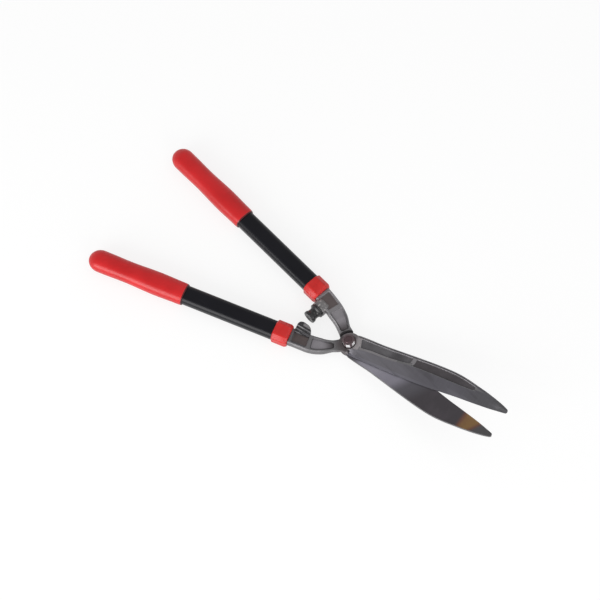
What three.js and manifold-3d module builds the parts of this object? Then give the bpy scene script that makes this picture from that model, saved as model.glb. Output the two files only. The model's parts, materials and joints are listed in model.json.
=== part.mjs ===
// Hedge shears with forged blades and cranked tubular handles, part open, as they lie on a table.
// Two like halves cross at a bolt. Each half is one forging: blade, boss, shank and a tang that is
// pinned into an oval tube. The handles lie level and the blades rise from them by the crank angle.
// Millimetres. X runs from the grips to the blade tips, Y across, Z up, origin under the middle.
import * as THREE from "three";
import { mergeVertices } from "three/addons/utils/BufferGeometryUtils.js";
import Module from "manifold-3d";

const wasm = await Module();
wasm.setup();

// Fits
const slack = 0.3;
const relief = 0.1;
const overrun = 4;
const roundSteps = 3;

// Layout: each handle's axis passes the pivot at handleOffset and spreads by handleSpread
const crankAngle = THREE.MathUtils.degToRad(13.6);
const handleSpread = THREE.MathUtils.degToRad(11.7);
const closingAngle = THREE.MathUtils.degToRad(8.8);
const handleOffset = 22.3;
const pivotDrop = 3;

// Blade: outlines are shares of its reach and width, from the pivot to the tip
const bladeReach = 238;
const bladeWidth = 34;
const bladeThickness = 5;
const bladeStations = 22;
const tipRadius = 2.8;
const hollowDepth = 0.5;
const edgeFlat = 0.3;
const edgeBevelWidth = 3;
const edgeBevelHeight = 1.3;
const spineChamfer = 0.9;
const rimWidth = 3.4;
const panelDepth = 1.1;
const panelDraft = 0.8;
const nearPanelBorder = 2.8;
const farPanelBorder = 0.9;
const landStep = 0.6;
const spineShares = [
  [0, 0.405], [0.08, 0.487], [0.24, 0.646], [0.4, 0.81], [0.53, 0.93], [0.63, 0.99],
  [0.7, 0.98], [0.78, 0.92], [0.89, 0.805], [0.96, 0.705], [1, 0.62],
];
const edgeShares = [
  [0, -0.45], [0.08, -0.41], [0.24, -0.32], [0.4, -0.2], [0.53, -0.085], [0.6, 0],
  [0.7, 0.12], [0.78, 0.2], [0.89, 0.32], [0.96, 0.42], [1, 0.48],
];
const landShares = [
  [0, -0.25], [0.07, -0.1], [0.14, 0.02], [0.21, 0.08], [0.275, 0.15], [0.39, 0.33],
  [0.5, 0.43], [0.625, 0.515], [0.75, 0.61], [0.82, 0.7], [0.89, 0.68], [0.96, 0.6], [1, 0.56],
];
const thicknessShares = [[0, 1], [0.42, 1], [0.5, 1], [0.85, 0.74], [1, 0.52]];
const nearPanelShares = [0.062, 0.368];
const farPanelShares = [0.395, 0.775];
const panelEndShare = 0.006;
const panelSkew = 0.26;
const panelSkewShares = [0.1, 0.2];

// Boss and pivot
const bossRadius = 15.2;
const bossHeight = 5.4;
const bossChamfer = 0.8;
const bossClearance = 3;
const bossProud = 0.15;
const grindStart = 5;
const grindLean = 0.73;
const grindSink = 0.3;
const boltDiameter = 10;
const boltHeadDiameter = 19;
const boltHeadHeight = 3.1;
const boltNeckLength = 4;
const boltEndLength = 0.5;
const boltEndChamfer = 0.8;
const spotDiameter = 18.6;
const spotDepth = 1.8;
const washerDiameter = 17.8;
const washerThickness = 0.7;
const springWasherDiameter = 16.4;
const springWasherThickness = 0.7;
const springWasherRise = 0.4;
const nutFlats = 16;
const nutHeight = 7;
const nutChamfer = 1.5;
const nutTurn = THREE.MathUtils.degToRad(28);

// Shank: laid out along its handle's axis, with shares of its length, offset and half width
const shankLength = 76.4;
const frontSway = 2.3;
const rearSway = 1.7;
const shankWidth = 23.4;
const shankThickness = 12;
const shankStations = 17;
const shankEdgeRound = 1.7;
const webDepth = 2.1;
const padDepth = 1.3;
const webDraft = 1.1;
const shankLineShares = [[0, 0], [0.15, 0.31], [0.28, 0.5], [0.435, 0.74], [0.61, 0.885], [0.785, 0.96], [1, 1]];
const shankWidthShares = [[0, 0.88], [0.15, 0.8], [0.28, 0.73], [0.435, 0.88], [0.61, 0.985], [0.785, 0.97], [1, 0.99]];
const crankShares = [0.14, 0.46];
const shankRimShares = [[0, 0.7], [0.2, 0.7], [0.3, 0.52], [0.43, 0.33], [0.6, 0.27], [1, 0.27]];
const webShares = [0.2, 0.61];
const padShares = [0.665, 0.965];
const webEndShare = 0.012;

// Stop: a rubber spool on the rear shank meets a fluted lug on the front one
const stopPlaceShare = 0.842;
const bumperDiameter = 18.2;
const bumperFootDiameter = 21;
const bumperNeckDiameter = 15;
const bumperLength = 17.4;
const bumperFlange = 4.4;
const bumperFootFlange = 4;
const bumperEdgeRound = 1;
const bumperSeatHeight = 19;
const bumperSeatLength = 19.6;
const bumperSeatThickness = 16.4;
const bumperSeatRoot = 6;
const bumperSeatCorner = 4.5;
const studDiameter = 6;
const studHeadDiameter = 10;
const studHeadHeight = 2.4;
const studRootDepth = 13;
const studReachShare = 0.66;
const lugLength = 21.4;
const lugThickness = 16;
const lugCorner = 7.5;
const lugHeel = 8.5;
const lugCrown = 1.2;
const lugLead = 1.1;
const lugBevel = 2.2;
const lugRoot = 6;
const fluteDiameter = 2.6;
const flutePitch = 4.5;
const fluteCount = 3;
const fluteStart = 8;

// Tang, its sleeve and its cross pin
const tangWidth = 15;
const tangThickness = 8;
const tangLength = 74;
const tangEndTaper = 3;
const sleeveLength = 62;
const pinDiameter = 4;
const pinSetback = 11;

// Tube, ferrule collar, end plug and grip
const tubeWidth = 26.5;
const tubeThickness = 19;
const tubeCorner = 8;
const tubeWall = 1.5;
const tubeLength = 279;
const collarWidth = 29.8;
const collarThickness = 24;
const collarFlankShares = [0.43, 0.46];
const collarEase = 2;
const collarLength = 22.4;
const collarFrontWall = 3;
const collarChamfer = 3;
const collarBackChamfer = 1.2;
const plugFlange = 2.5;
const plugSpigot = 14;
const plugHollow = 9;
const plugWall = 2;
const gripWidth = 31.8;
const gripThickness = 25.6;
const gripLength = 143.5;
const gripEndWall = 12;
const gripSides = 20;
const gripPower = 0.8;
const gripEndShare = 0.115;
const gripSwellShares = [[0, 0.925], [0.03, 0.955], [0.1, 0.965], [0.3, 1], [0.58, 0.925], [0.8, 0.955], [1, 0.955]];

// Derived places, measured from the pivot along a handle's axis
const halfSlack = slack / 2;
const tubeStart = shankLength + collarFrontWall + slack;
const pinPlace = shankLength + pinSetback;
const tubeEnd = tubeStart + tubeLength;
const plugEnd = tubeEnd + slack + plugFlange;
const gripEnd = plugEnd + slack + gripEndWall;
const gripStart = gripEnd - gripLength;
const boltRadius = boltDiameter / 2;
const boreRadius = boltRadius + slack;
const washerSeat = bossHeight - spotDepth + slack;
const springSeat = washerSeat + washerThickness + slack;
const nutSeat = springSeat + springWasherThickness + springWasherRise + slack;
const nutTop = nutSeat + nutHeight;
const bumperFoot = bumperSeatHeight + slack;
const bumperFace = bumperFoot + bumperLength;
const stopPlace = stopPlaceShare * shankLength;

// Materials, one for each sub-part
function material(color, roughness, metalness) {
  return new THREE.MeshStandardMaterial({ color, roughness, metalness });
}
const forgedSteel = () => material(0x67646a, 0.42, 0.85);
const brownedSteel = () => material(0x5a4b4e, 0.5, 0.8);
const zincSteel = () => material(0xb4b6ba, 0.35, 0.9);
const paintedTube = () => material(0x1e1d23, 0.38, 0.1);
const redPlastic = () => material(0xc0352f, 0.5, 0);
const redVinyl = () => material(0xc8302e, 0.45, 0);
const blackRubber = () => material(0x1d1d1f, 0.75, 0);
const greyNylon = () => material(0x8b8d90, 0.6, 0);

// A geometry as a solid whose faces point out, whichever way it was wound or mirrored
function solid(geometry) {
  const bare = geometry.clone();
  bare.deleteAttribute("normal");
  bare.deleteAttribute("uv");
  const merged = mergeVertices(bare);
  const triVerts = new Uint32Array(merged.index.array);
  const vertProperties = new Float32Array(merged.attributes.position.array);
  if (signedVolume(vertProperties, triVerts) < 0) triVerts.reverse();
  return new wasm.Manifold(new wasm.Mesh({ numProp: 3, vertProperties, triVerts }));
}

function signedVolume(points, triangles) {
  const corner = (i) => new THREE.Vector3().fromArray(points, 3 * triangles[i]);
  let volume = 0;
  for (let i = 0; i < triangles.length; i += 3) {
    volume += corner(i).dot(corner(i + 1).cross(corner(i + 2)));
  }
  return volume;
}

function meshOf(name, body, finish) {
  const { vertProperties, triVerts, numProp } = body.getMesh();
  const geometry = new THREE.BufferGeometry();
  const positions = new Float32Array((vertProperties.length / numProp) * 3);
  for (let i = 0; i < positions.length / 3; i++) {
    positions.set(vertProperties.subarray(i * numProp, i * numProp + 3), 3 * i);
  }
  geometry.setAttribute("position", new THREE.BufferAttribute(positions, 3));
  geometry.setIndex(new THREE.BufferAttribute(triVerts, 1));
  const mesh = new THREE.Mesh(geometry, finish);
  mesh.name = name;
  return mesh;
}

// Skins a row of stations: each has a section, counterclockwise, and a matrix or rule that places it
function loft(stations) {
  const count = stations[0].section.length;
  const positions = [];
  for (const { section, matrix, place } of stations) {
    for (const point of section) {
      const placed = place ? place(point) : new THREE.Vector3(point.x, point.y, 0).applyMatrix4(matrix);
      positions.push(...placed.toArray());
    }
  }
  const index = [];
  for (let ring = 0; ring + 1 < stations.length; ring++) {
    for (let i = 0; i < count; i++) {
      const here = ring * count + i;
      const next = ring * count + ((i + 1) % count);
      index.push(here, next, next + count, here, next + count, here + count);
    }
  }
  const last = (stations.length - 1) * count;
  for (const [a, b, c] of THREE.ShapeUtils.triangulateShape(stations[0].section, [])) index.push(c, b, a);
  for (const [a, b, c] of THREE.ShapeUtils.triangulateShape(stations.at(-1).section, [])) {
    index.push(last + a, last + b, last + c);
  }
  const geometry = new THREE.BufferGeometry();
  geometry.setAttribute("position", new THREE.Float32BufferAttribute(positions, 3));
  geometry.setIndex(index);
  return geometry;
}

// A shape drawn across an axis and drawn out along it, from one place to another
function prism(shape, from, to) {
  const depth = to - from;
  const geometry = new THREE.ExtrudeGeometry(shape, { depth, bevelEnabled: false, curveSegments: roundSteps });
  return geometry.translate(0, 0, from);
}

function cylinder(diameter, from, to, sides = 32) {
  const geometry = new THREE.CylinderGeometry(diameter / 2, diameter / 2, to - from, sides);
  return geometry.rotateX(Math.PI / 2).translate(0, 0, (from + to) / 2);
}

// A profile of [radius, height] pairs turned about Z; it starts and ends on the axis or closes
function turned(profile, sides = 30) {
  const points = profile.map(([radius, height]) => new THREE.Vector2(radius, height));
  return new THREE.LatheGeometry(points, sides).rotateX(Math.PI / 2);
}

function roundedRectangle(width, height, corner) {
  const x = width / 2 - corner;
  const y = height / 2 - corner;
  const shape = new THREE.Shape();
  shape.absarc(x, y, corner, 0, Math.PI / 2);
  shape.absarc(-x, y, corner, Math.PI / 2, Math.PI);
  shape.absarc(-x, -y, corner, Math.PI, 1.5 * Math.PI);
  shape.absarc(x, -y, corner, 1.5 * Math.PI, 2 * Math.PI);
  shape.closePath();
  return shape;
}

// A smooth line through pairs of share and value
function smooth(shares, at) {
  const last = shares.length - 1;
  const found = shares.findIndex(([share]) => share > at);
  const i = THREE.MathUtils.clamp(found < 0 ? last - 1 : found - 1, 0, last - 1);
  const slope = (k) => {
    const before = shares[Math.max(k - 1, 0)];
    const after = shares[Math.min(k + 1, last)];
    return (after[1] - before[1]) / (after[0] - before[0]);
  };
  const step = shares[i + 1][0] - shares[i][0];
  const t = THREE.MathUtils.clamp((at - shares[i][0]) / step, 0, 1);
  const rise = shares[i + 1][1] - shares[i][1];
  const bend = (1 - t) * (slope(i) * step - rise) - t * (slope(i + 1) * step - rise);
  return shares[i][1] + t * rise + t * (1 - t) * bend;
}

// One inside a stretch and zero outside it, with a ramp of the given share at each end
function within([start, end], ramp, at) {
  return THREE.MathUtils.clamp(Math.min(at - start, end - at) / ramp, 0, 1);
}

// Shares of a length for a loft: evenly spread, with close pairs at each ramp
function stationShares(count, stretches, ramp) {
  const shares = Array.from({ length: count + 1 }, (_, i) => i / count);
  const kept = shares.filter((share) =>
    stretches.flat().every((end) => share === 0 || share === 1 || Math.abs(share - end) > 1.3 * ramp));
  for (const [start, end] of stretches) kept.push(start, start + ramp, end - ramp, end);
  return kept.sort((a, b) => a - b);
}

// Frames: the forging's own plane is the handles' plane; side is 1 in front and -1 behind
const crank = new THREE.Matrix4().makeRotationY(-crankAngle)
  .multiply(new THREE.Matrix4().makeTranslation(0, 0, -pivotDrop));

function bladePlace(side) {
  return crank.clone().multiply(new THREE.Matrix4().makeScale(1, side, side));
}

// X runs out along the handle's axis, Y towards the other handle, Z up
function handlePlace(side) {
  const along = new THREE.Vector3(-Math.cos(handleSpread), -side * Math.sin(handleSpread), 0);
  const inward = new THREE.Vector3(-Math.sin(handleSpread), side * Math.cos(handleSpread), 0);
  const frame = new THREE.Matrix4().makeBasis(along, inward, new THREE.Vector3(0, 0, 1));
  return frame.setPosition(inward.clone().multiplyScalar(-handleOffset));
}

// A shape drawn across the handle's axis is drawn out along it
const alongHandle = new THREE.Matrix4().makeBasis(
  new THREE.Vector3(0, 1, 0), new THREE.Vector3(0, 0, 1), new THREE.Vector3(1, 0, 0));
// A turned piece stands on the handle's axis and points to the other handle
const acrossHandle = new THREE.Matrix4().makeBasis(
  new THREE.Vector3(0, 0, 1), new THREE.Vector3(1, 0, 0), new THREE.Vector3(0, 1, 0));

function bladeSection(share) {
  const along = share * bladeReach;
  const spineLine = smooth(spineShares, share) * bladeWidth;
  const edgeLine = smooth(edgeShares, share) * bladeWidth;
  const middle = (spineLine + edgeLine) / 2;
  const fromTip = Math.min(bladeReach - along, tipRadius);
  const tipHalf = Math.sqrt(tipRadius ** 2 - (tipRadius - fromTip) ** 2) + edgeFlat;
  const half = Math.min((spineLine - edgeLine) / 2, bladeReach - along < tipRadius ? tipHalf : Infinity);
  const spine = middle + half;
  const edge = middle - half;
  const room = Math.min(1, (2 * half) / (rimWidth + edgeBevelWidth + 2 * panelDraft + landStep));
  const rim = rimWidth * room;
  const bevel = edgeBevelWidth * room;
  const step = landStep * room;
  const thickness = smooth(thicknessShares, share) * bladeThickness;
  const landLimit = [edge + bevel + step, spine - rim];
  const land = THREE.MathUtils.clamp(smooth(landShares, share) * bladeWidth, ...landLimit);
  const near = within(nearPanelShares, panelEndShare, share);
  const far = within(farPanelShares, panelEndShare, share);
  const border = share < nearPanelShares[1] ? nearPanelBorder : farPanelBorder;
  const panelTop = spine - rim;
  const panelFoot = Math.min(land + border * room, panelTop);
  const draft = Math.min(panelDraft * room, (panelTop - panelFoot) / 3);
  const depth = panelDepth * Math.max(near, far) * Math.min(1, draft / panelDraft);
  const inside = halfSlack + relief;
  const hollow = hollowDepth * within([0, 1], 0.1, share);
  const chamfer = spineChamfer * room;
  return [
    [edge, inside],
    [edge + 0.4 * half, inside + 0.8 * hollow],
    [middle, inside + hollow],
    [spine - 0.4 * half, inside + 0.8 * hollow],
    [spine, inside],
    [spine, thickness - chamfer],
    [spine - chamfer, thickness],
    [panelTop, thickness],
    [panelTop - draft, thickness - depth],
    [panelFoot + draft, thickness - depth],
    [panelFoot, thickness],
    [land, thickness],
    [land - step, thickness - landStep * room],
    [edge + bevel, Math.min(edgeBevelHeight, thickness / 2)],
    [edge, inside + edgeFlat],
  ].map(([y, z]) => new THREE.Vector2(y, z));
}

// The near panel's first end leans back towards the boss on the spine side
function bladePoint(share, { x: y, y: z }) {
  const lean = panelSkew * (1 - THREE.MathUtils.smoothstep(share, ...panelSkewShares));
  const land = smooth(landShares, share) * bladeWidth;
  return new THREE.Vector3(share * bladeReach - lean * Math.max(y - land, 0), y, z);
}

function blade() {
  const shares = stationShares(bladeStations, [nearPanelShares, farPanelShares], panelEndShare);
  const tipShare = tipRadius / bladeReach;
  for (const part of [0.75, 0.5, 0.25, 0.1]) shares.splice(-1, 0, 1 - part * tipShare);
  return loft(shares.map((share) => ({
    section: bladeSection(share),
    place: (point) => bladePoint(share, point),
  })));
}

function boss() {
  const disc = turned([
    [0, halfSlack], [bossRadius, halfSlack], [bossRadius, bossHeight - bossChamfer],
    [bossRadius - bossChamfer, bossHeight], [0, bossHeight],
  ], 40);
  return solid(disc).subtract(solid(grind()));
}

// Where the blade's ground face runs on into the boss, from a line that leans away from the edge
function grind() {
  const station = (along, lean) => {
    const share = along / bladeReach;
    const edge = smooth(edgeShares, share) * bladeWidth;
    const land = smooth(landShares, share) * bladeWidth;
    const low = edgeBevelHeight - grindSink;
    const section = [
      [land, bladeThickness - grindSink], [land, bladeThickness + bossHeight],
      [edge - bossRadius, bladeThickness + bossHeight], [edge - bossRadius, low],
      [edge + edgeBevelWidth, low], [land - landStep, bladeThickness - landStep - grindSink],
    ].map(([y, z]) => new THREE.Vector2(y, z));
    return { section, place: ({ x: y, y: z }) => new THREE.Vector3(along + lean * (land - y), y, z) };
  };
  return loft([station(grindStart, grindLean), station(bossRadius + overrun, 0)]);
}

// The shank leaves the boss at the blade's level and climbs into the handles' plane
function shankStation(share, side) {
  const along = share * shankLength;
  const sway = (at) => (side > 0 ? frontSway : -rearSway) * Math.sin(Math.PI * at) ** 2;
  const line = (at) => handleOffset * (1 - smooth(shankLineShares, at)) - sway(at);
  const nudge = 0.01;
  const slope = (line(share + nudge) - line(share - nudge)) / (2 * nudge * shankLength);
  const forward = new THREE.Vector2(1, slope).normalize();
  const across = new THREE.Vector2(forward.y, -forward.x);
  const half = (smooth(shankWidthShares, share) * shankWidth) / 2;
  const climb = THREE.MathUtils.smoothstep(share, ...crankShares);
  const centre = new THREE.Vector2(along, line(share));
  const level = (offset, height) => {
    const place = across.clone().multiplyScalar(offset).add(centre);
    const x = -Math.cos(handleSpread) * place.x + Math.sin(handleSpread) * (handleOffset - place.y);
    return (height - pivotDrop + Math.sin(crankAngle) * x) / Math.cos(crankAngle);
  };
  const topLevel = bossHeight - bossProud;
  const footLevel = side > 0 ? halfSlack + relief : -topLevel;
  const top = (offset) => THREE.MathUtils.lerp(level(offset, topLevel), shankThickness / 2, climb);
  const foot = (offset) => THREE.MathUtils.lerp(level(offset, footLevel), -shankThickness / 2, climb);
  const web = webDepth * within(webShares, webEndShare, share);
  const pad = padDepth * within(padShares, webEndShare, share);
  const depth = Math.max(web, pad);
  const edge = Math.min(shankEdgeRound, (top(0) - foot(0)) / 4);
  const ease = 0.3 * edge;
  const rim = half * (1 - smooth(shankRimShares, share));
  const floor = rim - Math.min(webDraft, rim / 2);
  const under = depth * climb;
  const ring = [
    [-half, foot, edge], [-half + ease, foot, ease], [-half + edge, foot, 0],
    [-rim, foot, 0], [-floor, foot, under], [floor, foot, under], [rim, foot, 0],
    [half - edge, foot, 0], [half - ease, foot, ease], [half, foot, edge],
    [half, top, -edge], [half - ease, top, -ease], [half - edge, top, 0],
    [rim, top, 0], [floor, top, -depth], [-floor, top, -depth], [-rim, top, 0],
    [-half + edge, top, 0], [-half + ease, top, -ease], [-half, top, -edge],
  ];
  const section = ring.map(([offset, face, rise]) => new THREE.Vector2(offset, face(offset) + rise));
  const matrix = new THREE.Matrix4().makeBasis(
    new THREE.Vector3(across.x, across.y, 0), new THREE.Vector3(0, 0, 1), new THREE.Vector3(-forward.x, -forward.y, 0));
  return { section, matrix: matrix.setPosition(centre.x, centre.y, 0) };
}

function shank(side) {
  const shares = stationShares(shankStations, [webShares, padShares], webEndShare);
  return loft(shares.map((share) => shankStation(share, side)));
}

function tang() {
  const section = (inset) => roundedRectangle(
    tangWidth - 2 * inset, tangThickness - 2 * inset, tangEndTaper / 2).extractPoints(2).shape;
  const place = (along) => new THREE.Matrix4().copy(alongHandle).setPosition(along, 0, 0);
  const end = shankLength + tangLength;
  return loft([
    { section: section(0), matrix: place(shankLength - overrun) },
    { section: section(0), matrix: place(end - tangEndTaper) },
    { section: section(tangEndTaper / 2), matrix: place(end) },
  ]);
}

// The lug's face lies on the spool's face when the blades are closed
function stopLug() {
  const meet = 2 * handleSpread - closingAngle;
  const reach = bumperFace - handleOffset + slack;
  const face = (along) => handleOffset + (along * Math.sin(meet) - reach) / Math.cos(meet);
  const crown = (along) => face(along) - lugCrown;
  const start = stopPlace - lugLead - lugLength / 2;
  const end = start + lugLength;
  const shape = new THREE.Shape();
  shape.moveTo(start, lugRoot);
  shape.lineTo(start, crown(start) - lugCorner);
  shape.quadraticCurveTo(start, crown(start), start + lugCorner, face(start + lugCorner));
  shape.lineTo(end - lugHeel, face(end - lugHeel));
  shape.quadraticCurveTo(end, crown(end), end, crown(end) - lugHeel);
  shape.lineTo(end, lugRoot);
  shape.closePath();
  const geometry = new THREE.ExtrudeGeometry(shape, {
    depth: lugThickness - 2 * lugBevel, bevelThickness: lugBevel, bevelSize: lugBevel, bevelOffset: -lugBevel,
    bevelSegments: 3, curveSegments: roundSteps,
  });
  return geometry.translate(0, 0, lugBevel - lugThickness / 2);
}

function flutes() {
  const cuts = [];
  for (let i = 0; i < fluteCount; i++) {
    for (const face of [1, -1]) {
      const rod = new THREE.CylinderGeometry(fluteDiameter / 2, fluteDiameter / 2, lugLength + 2 * overrun, 12);
      rod.rotateZ(Math.PI / 2);
      cuts.push(rod.translate(stopPlace, fluteStart + i * flutePitch, (face * lugThickness) / 2));
    }
  }
  return cuts;
}

function placedSolid(geometry, ...places) {
  const moved = geometry.clone();
  for (const place of places) moved.applyMatrix4(place);
  return solid(moved);
}

function forging(side) {
  const handle = handlePlace(side);
  const onBlade = bladePlace(side);
  let body = placedSolid(shank(side), handle);
  const sweep = bossRadius + bossClearance;
  const clearing = cylinder(2 * sweep, -2 * shankThickness, halfSlack + relief, 48);
  const otherSide = side > 0 ? crank : crank.clone().multiply(new THREE.Matrix4().makeRotationX(Math.PI));
  body = body.subtract(placedSolid(clearing, otherSide));
  body = body.add(boss().transform(onBlade.elements)).add(placedSolid(blade(), onBlade));
  body = body.add(placedSolid(tang(), handle));
  if (side > 0) {
    let lug = placedSolid(stopLug(), handle);
    for (const cut of flutes()) lug = lug.subtract(placedSolid(cut, handle));
    body = body.add(lug);
    const bore = cylinder(2 * boreRadius, -overrun, bossHeight + overrun);
    const spot = cylinder(spotDiameter, bossHeight - spotDepth, bossHeight + overrun);
    body = body.subtract(placedSolid(bore, onBlade)).subtract(placedSolid(spot, onBlade));
  } else {
    body = body.add(placedSolid(bumperSeat(), acrossHandle, stopShift, handle));
    const studHole = cylinder(studDiameter + 2 * slack, bumperSeatHeight - studRootDepth, bumperSeatHeight + overrun);
    body = body.subtract(placedSolid(studHole, acrossHandle, stopShift, handle));
    const square = new THREE.BoxGeometry(2 * boreRadius, 2 * boreRadius, 2 * (bossHeight + overrun));
    body = body.subtract(placedSolid(square, onBlade));
  }
  return body.subtract(placedSolid(pinHole(), handle));
}

// A block that grows out of the shank's inner edge, thin in the shank and full under the spool
function bumperSeat() {
  const section = (thickness) => roundedRectangle(
    thickness, bumperSeatLength, Math.min(bumperSeatCorner, thickness / 2.2)).extractPoints(3).shape;
  const place = (height) => new THREE.Matrix4().makeTranslation(0, 0, height);
  const full = shankWidth / 2;
  return loft([
    { section: section(shankThickness - 2 * padDepth - 2 * relief), matrix: place(bumperSeatRoot) },
    { section: section(bumperSeatThickness), matrix: place(full) },
    { section: section(bumperSeatThickness), matrix: place(bumperSeatHeight) },
  ]);
}

const stopShift = new THREE.Matrix4().makeTranslation(stopPlace, 0, 0);

function pinHole() {
  return cylinder(pinDiameter + 2 * slack, -tubeThickness, tubeThickness, 20).translate(pinPlace, 0, 0);
}

function pivotBolt() {
  const under = -bossHeight - slack;
  const crown = under - boltHeadHeight;
  const headRadius = boltHeadDiameter / 2;
  const end = nutTop + boltEndLength;
  const dome = [];
  for (let i = 0; i <= 4; i++) {
    const turn = (i / 4) * (Math.PI / 2);
    dome.push([headRadius * (0.62 + 0.38 * Math.sin(turn)), crown + boltHeadHeight * 0.8 * (1 - Math.cos(turn))]);
  }
  const shaft = turned([
    [0, crown], ...dome, [headRadius, under], [boltRadius, under],
    [boltRadius, end - boltEndChamfer], [boltRadius - boltEndChamfer, end], [0, end],
  ]);
  const neck = new THREE.BoxGeometry(boltDiameter, boltDiameter, boltNeckLength + overrun / 2);
  neck.translate(0, 0, under + boltNeckLength / 2 - overrun / 4 + slack);
  return placedSolid(shaft, crank).add(placedSolid(neck, crank));
}

function ringWasher(diameter, seat, thickness, rise) {
  const outer = diameter / 2;
  return turned([
    [boreRadius, seat + rise], [outer, seat], [outer, seat + thickness],
    [boreRadius, seat + rise + thickness], [boreRadius, seat + rise],
  ]);
}

function pivotNut() {
  const corner = nutFlats / Math.sqrt(3);
  const hexagon = new THREE.CylinderGeometry(corner, corner, nutHeight, 6).rotateX(Math.PI / 2);
  hexagon.rotateZ(nutTurn - Math.PI / 6).translate(0, 0, nutSeat + nutHeight / 2);
  const lean = nutChamfer * Math.tan(Math.PI / 6);
  const cone = turned([
    [0, nutSeat], [corner - nutChamfer, nutSeat], [corner, nutSeat + lean], [corner, nutTop - lean],
    [corner - nutChamfer, nutTop], [0, nutTop],
  ]);
  const bore = cylinder(2 * boreRadius, nutSeat - overrun, nutTop + overrun);
  const body = placedSolid(hexagon, crank).intersect(placedSolid(cone, crank));
  return body.subtract(placedSolid(bore, crank));
}

// The spool is turned about its own axis, with a blind bore for the stud and its head
function bumper() {
  const outer = bumperDiameter / 2;
  const foot = bumperFootDiameter / 2;
  const neck = bumperNeckDiameter / 2;
  const soft = bumperEdgeRound;
  const studTop = bumperFoot + bumperLength * studReachShare;
  const neckStart = bumperFoot + bumperFootFlange;
  const neckEnd = bumperFace - bumperFlange;
  const waist = [];
  for (let i = 0; i <= 6; i++) {
    const height = THREE.MathUtils.lerp(neckStart, neckEnd, i / 6);
    const full = THREE.MathUtils.lerp(foot, outer, i / 6) - soft / 2;
    waist.push([full - (full - neck) * Math.sin((i / 6) * Math.PI) ** 0.6, height]);
  }
  return turned([
    [studDiameter / 2 + slack, bumperFoot], [foot - soft, bumperFoot], [foot, bumperFoot + soft],
    [foot, neckStart - soft], ...waist, [outer, neckEnd + soft], [outer, bumperFace - soft],
    [outer - soft, bumperFace], [0, bumperFace], [0, studTop + slack],
    [studHeadDiameter / 2 + slack, studTop + slack], [studHeadDiameter / 2 + slack, studTop - studHeadHeight - slack],
    [studDiameter / 2 + slack, studTop - studHeadHeight - slack], [studDiameter / 2 + slack, bumperFoot],
  ]);
}

function stud() {
  const studTop = bumperFoot + bumperLength * studReachShare;
  const radius = studDiameter / 2;
  return turned([
    [0, bumperSeatHeight - studRootDepth + slack], [radius, bumperSeatHeight - studRootDepth + slack],
    [radius, studTop - studHeadHeight], [studHeadDiameter / 2, studTop - studHeadHeight],
    [studHeadDiameter / 2, studTop], [0, studTop],
  ], 24);
}

function tubeSection(growth) {
  return roundedRectangle(tubeWidth + 2 * growth, tubeThickness + 2 * growth, tubeCorner + growth);
}

function tube() {
  const shape = tubeSection(0);
  shape.holes.push(tubeSection(-tubeWall));
  return prism(shape, tubeStart, tubeEnd).applyMatrix4(alongHandle);
}

function sleeve() {
  const shape = tubeSection(-tubeWall - slack);
  const gap = 2 * slack;
  shape.holes.push(roundedRectangle(tangWidth + gap, tangThickness + gap, tangEndTaper / 2 + slack));
  return prism(shape, tubeStart, tubeStart + sleeveLength).applyMatrix4(alongHandle);
}

function tangPin() {
  const half = tubeThickness / 2 - slack;
  return cylinder(pinDiameter, -half, half, 20).translate(pinPlace, 0, 0);
}

// A rectangle with broad flanks cut at its corners, each edge of a flank eased
function collarSection(inset) {
  const x = collarWidth / 2 - inset;
  const y = collarThickness / 2 - inset;
  const [cutX, cutY] = [collarFlankShares[0] * x, collarFlankShares[1] * y];
  const corners = [[x, -y + cutY], [x, y - cutY], [x - cutX, y], [-x + cutX, y]];
  const ring = [...corners, ...corners.map(([a, b]) => [-a, -b])].map(([a, b]) => new THREE.Vector2(a, b));
  return ring.flatMap((corner, i) => [-1, 1].map((step) => {
    const way = ring.at((i + step) % ring.length).clone().sub(corner);
    return way.setLength(collarEase / 2).add(corner);
  }));
}

function collar() {
  const start = shankLength + slack;
  const end = start + collarLength;
  const station = (along, inset) => ({
    section: collarSection(inset),
    matrix: new THREE.Matrix4().copy(alongHandle).setPosition(along, 0, 0),
  });
  const shell = solid(loft([
    station(start, collarChamfer / 2), station(start + collarChamfer, 0),
    station(end - collarBackChamfer, 0), station(end, collarBackChamfer),
  ]));
  const gap = 2 * slack;
  const front = roundedRectangle(tangWidth + gap, tangThickness + gap, tangEndTaper / 2 + slack);
  const opening = solid(prism(front, start - overrun, end).applyMatrix4(alongHandle));
  const bore = solid(prism(tubeSection(slack), tubeStart - slack, end + overrun).applyMatrix4(alongHandle));
  return shell.subtract(opening).subtract(bore);
}

function endPlug() {
  const flange = solid(prism(tubeSection(0), tubeEnd + slack, plugEnd));
  const spigot = solid(prism(tubeSection(-tubeWall - slack), tubeEnd - plugSpigot, tubeEnd + slack + plugFlange / 2));
  const core = tubeSection(-tubeWall - slack - plugWall);
  const hollow = solid(prism(core, tubeEnd - plugSpigot - overrun, tubeEnd - plugSpigot + plugHollow));
  return flange.add(spigot).subtract(hollow).transform(alongHandle.elements);
}

// An oval between an ellipse and a rounded rectangle
function gripSection(scale) {
  const points = [];
  for (let i = 0; i < gripSides; i++) {
    const turn = (i / gripSides) * 2 * Math.PI;
    const bulge = (value) => Math.sign(value) * Math.abs(value) ** gripPower;
    points.push(new THREE.Vector2(
      (bulge(Math.cos(turn)) * gripWidth * scale) / 2, (bulge(Math.sin(turn)) * gripThickness * scale) / 2));
  }
  return points;
}

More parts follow.
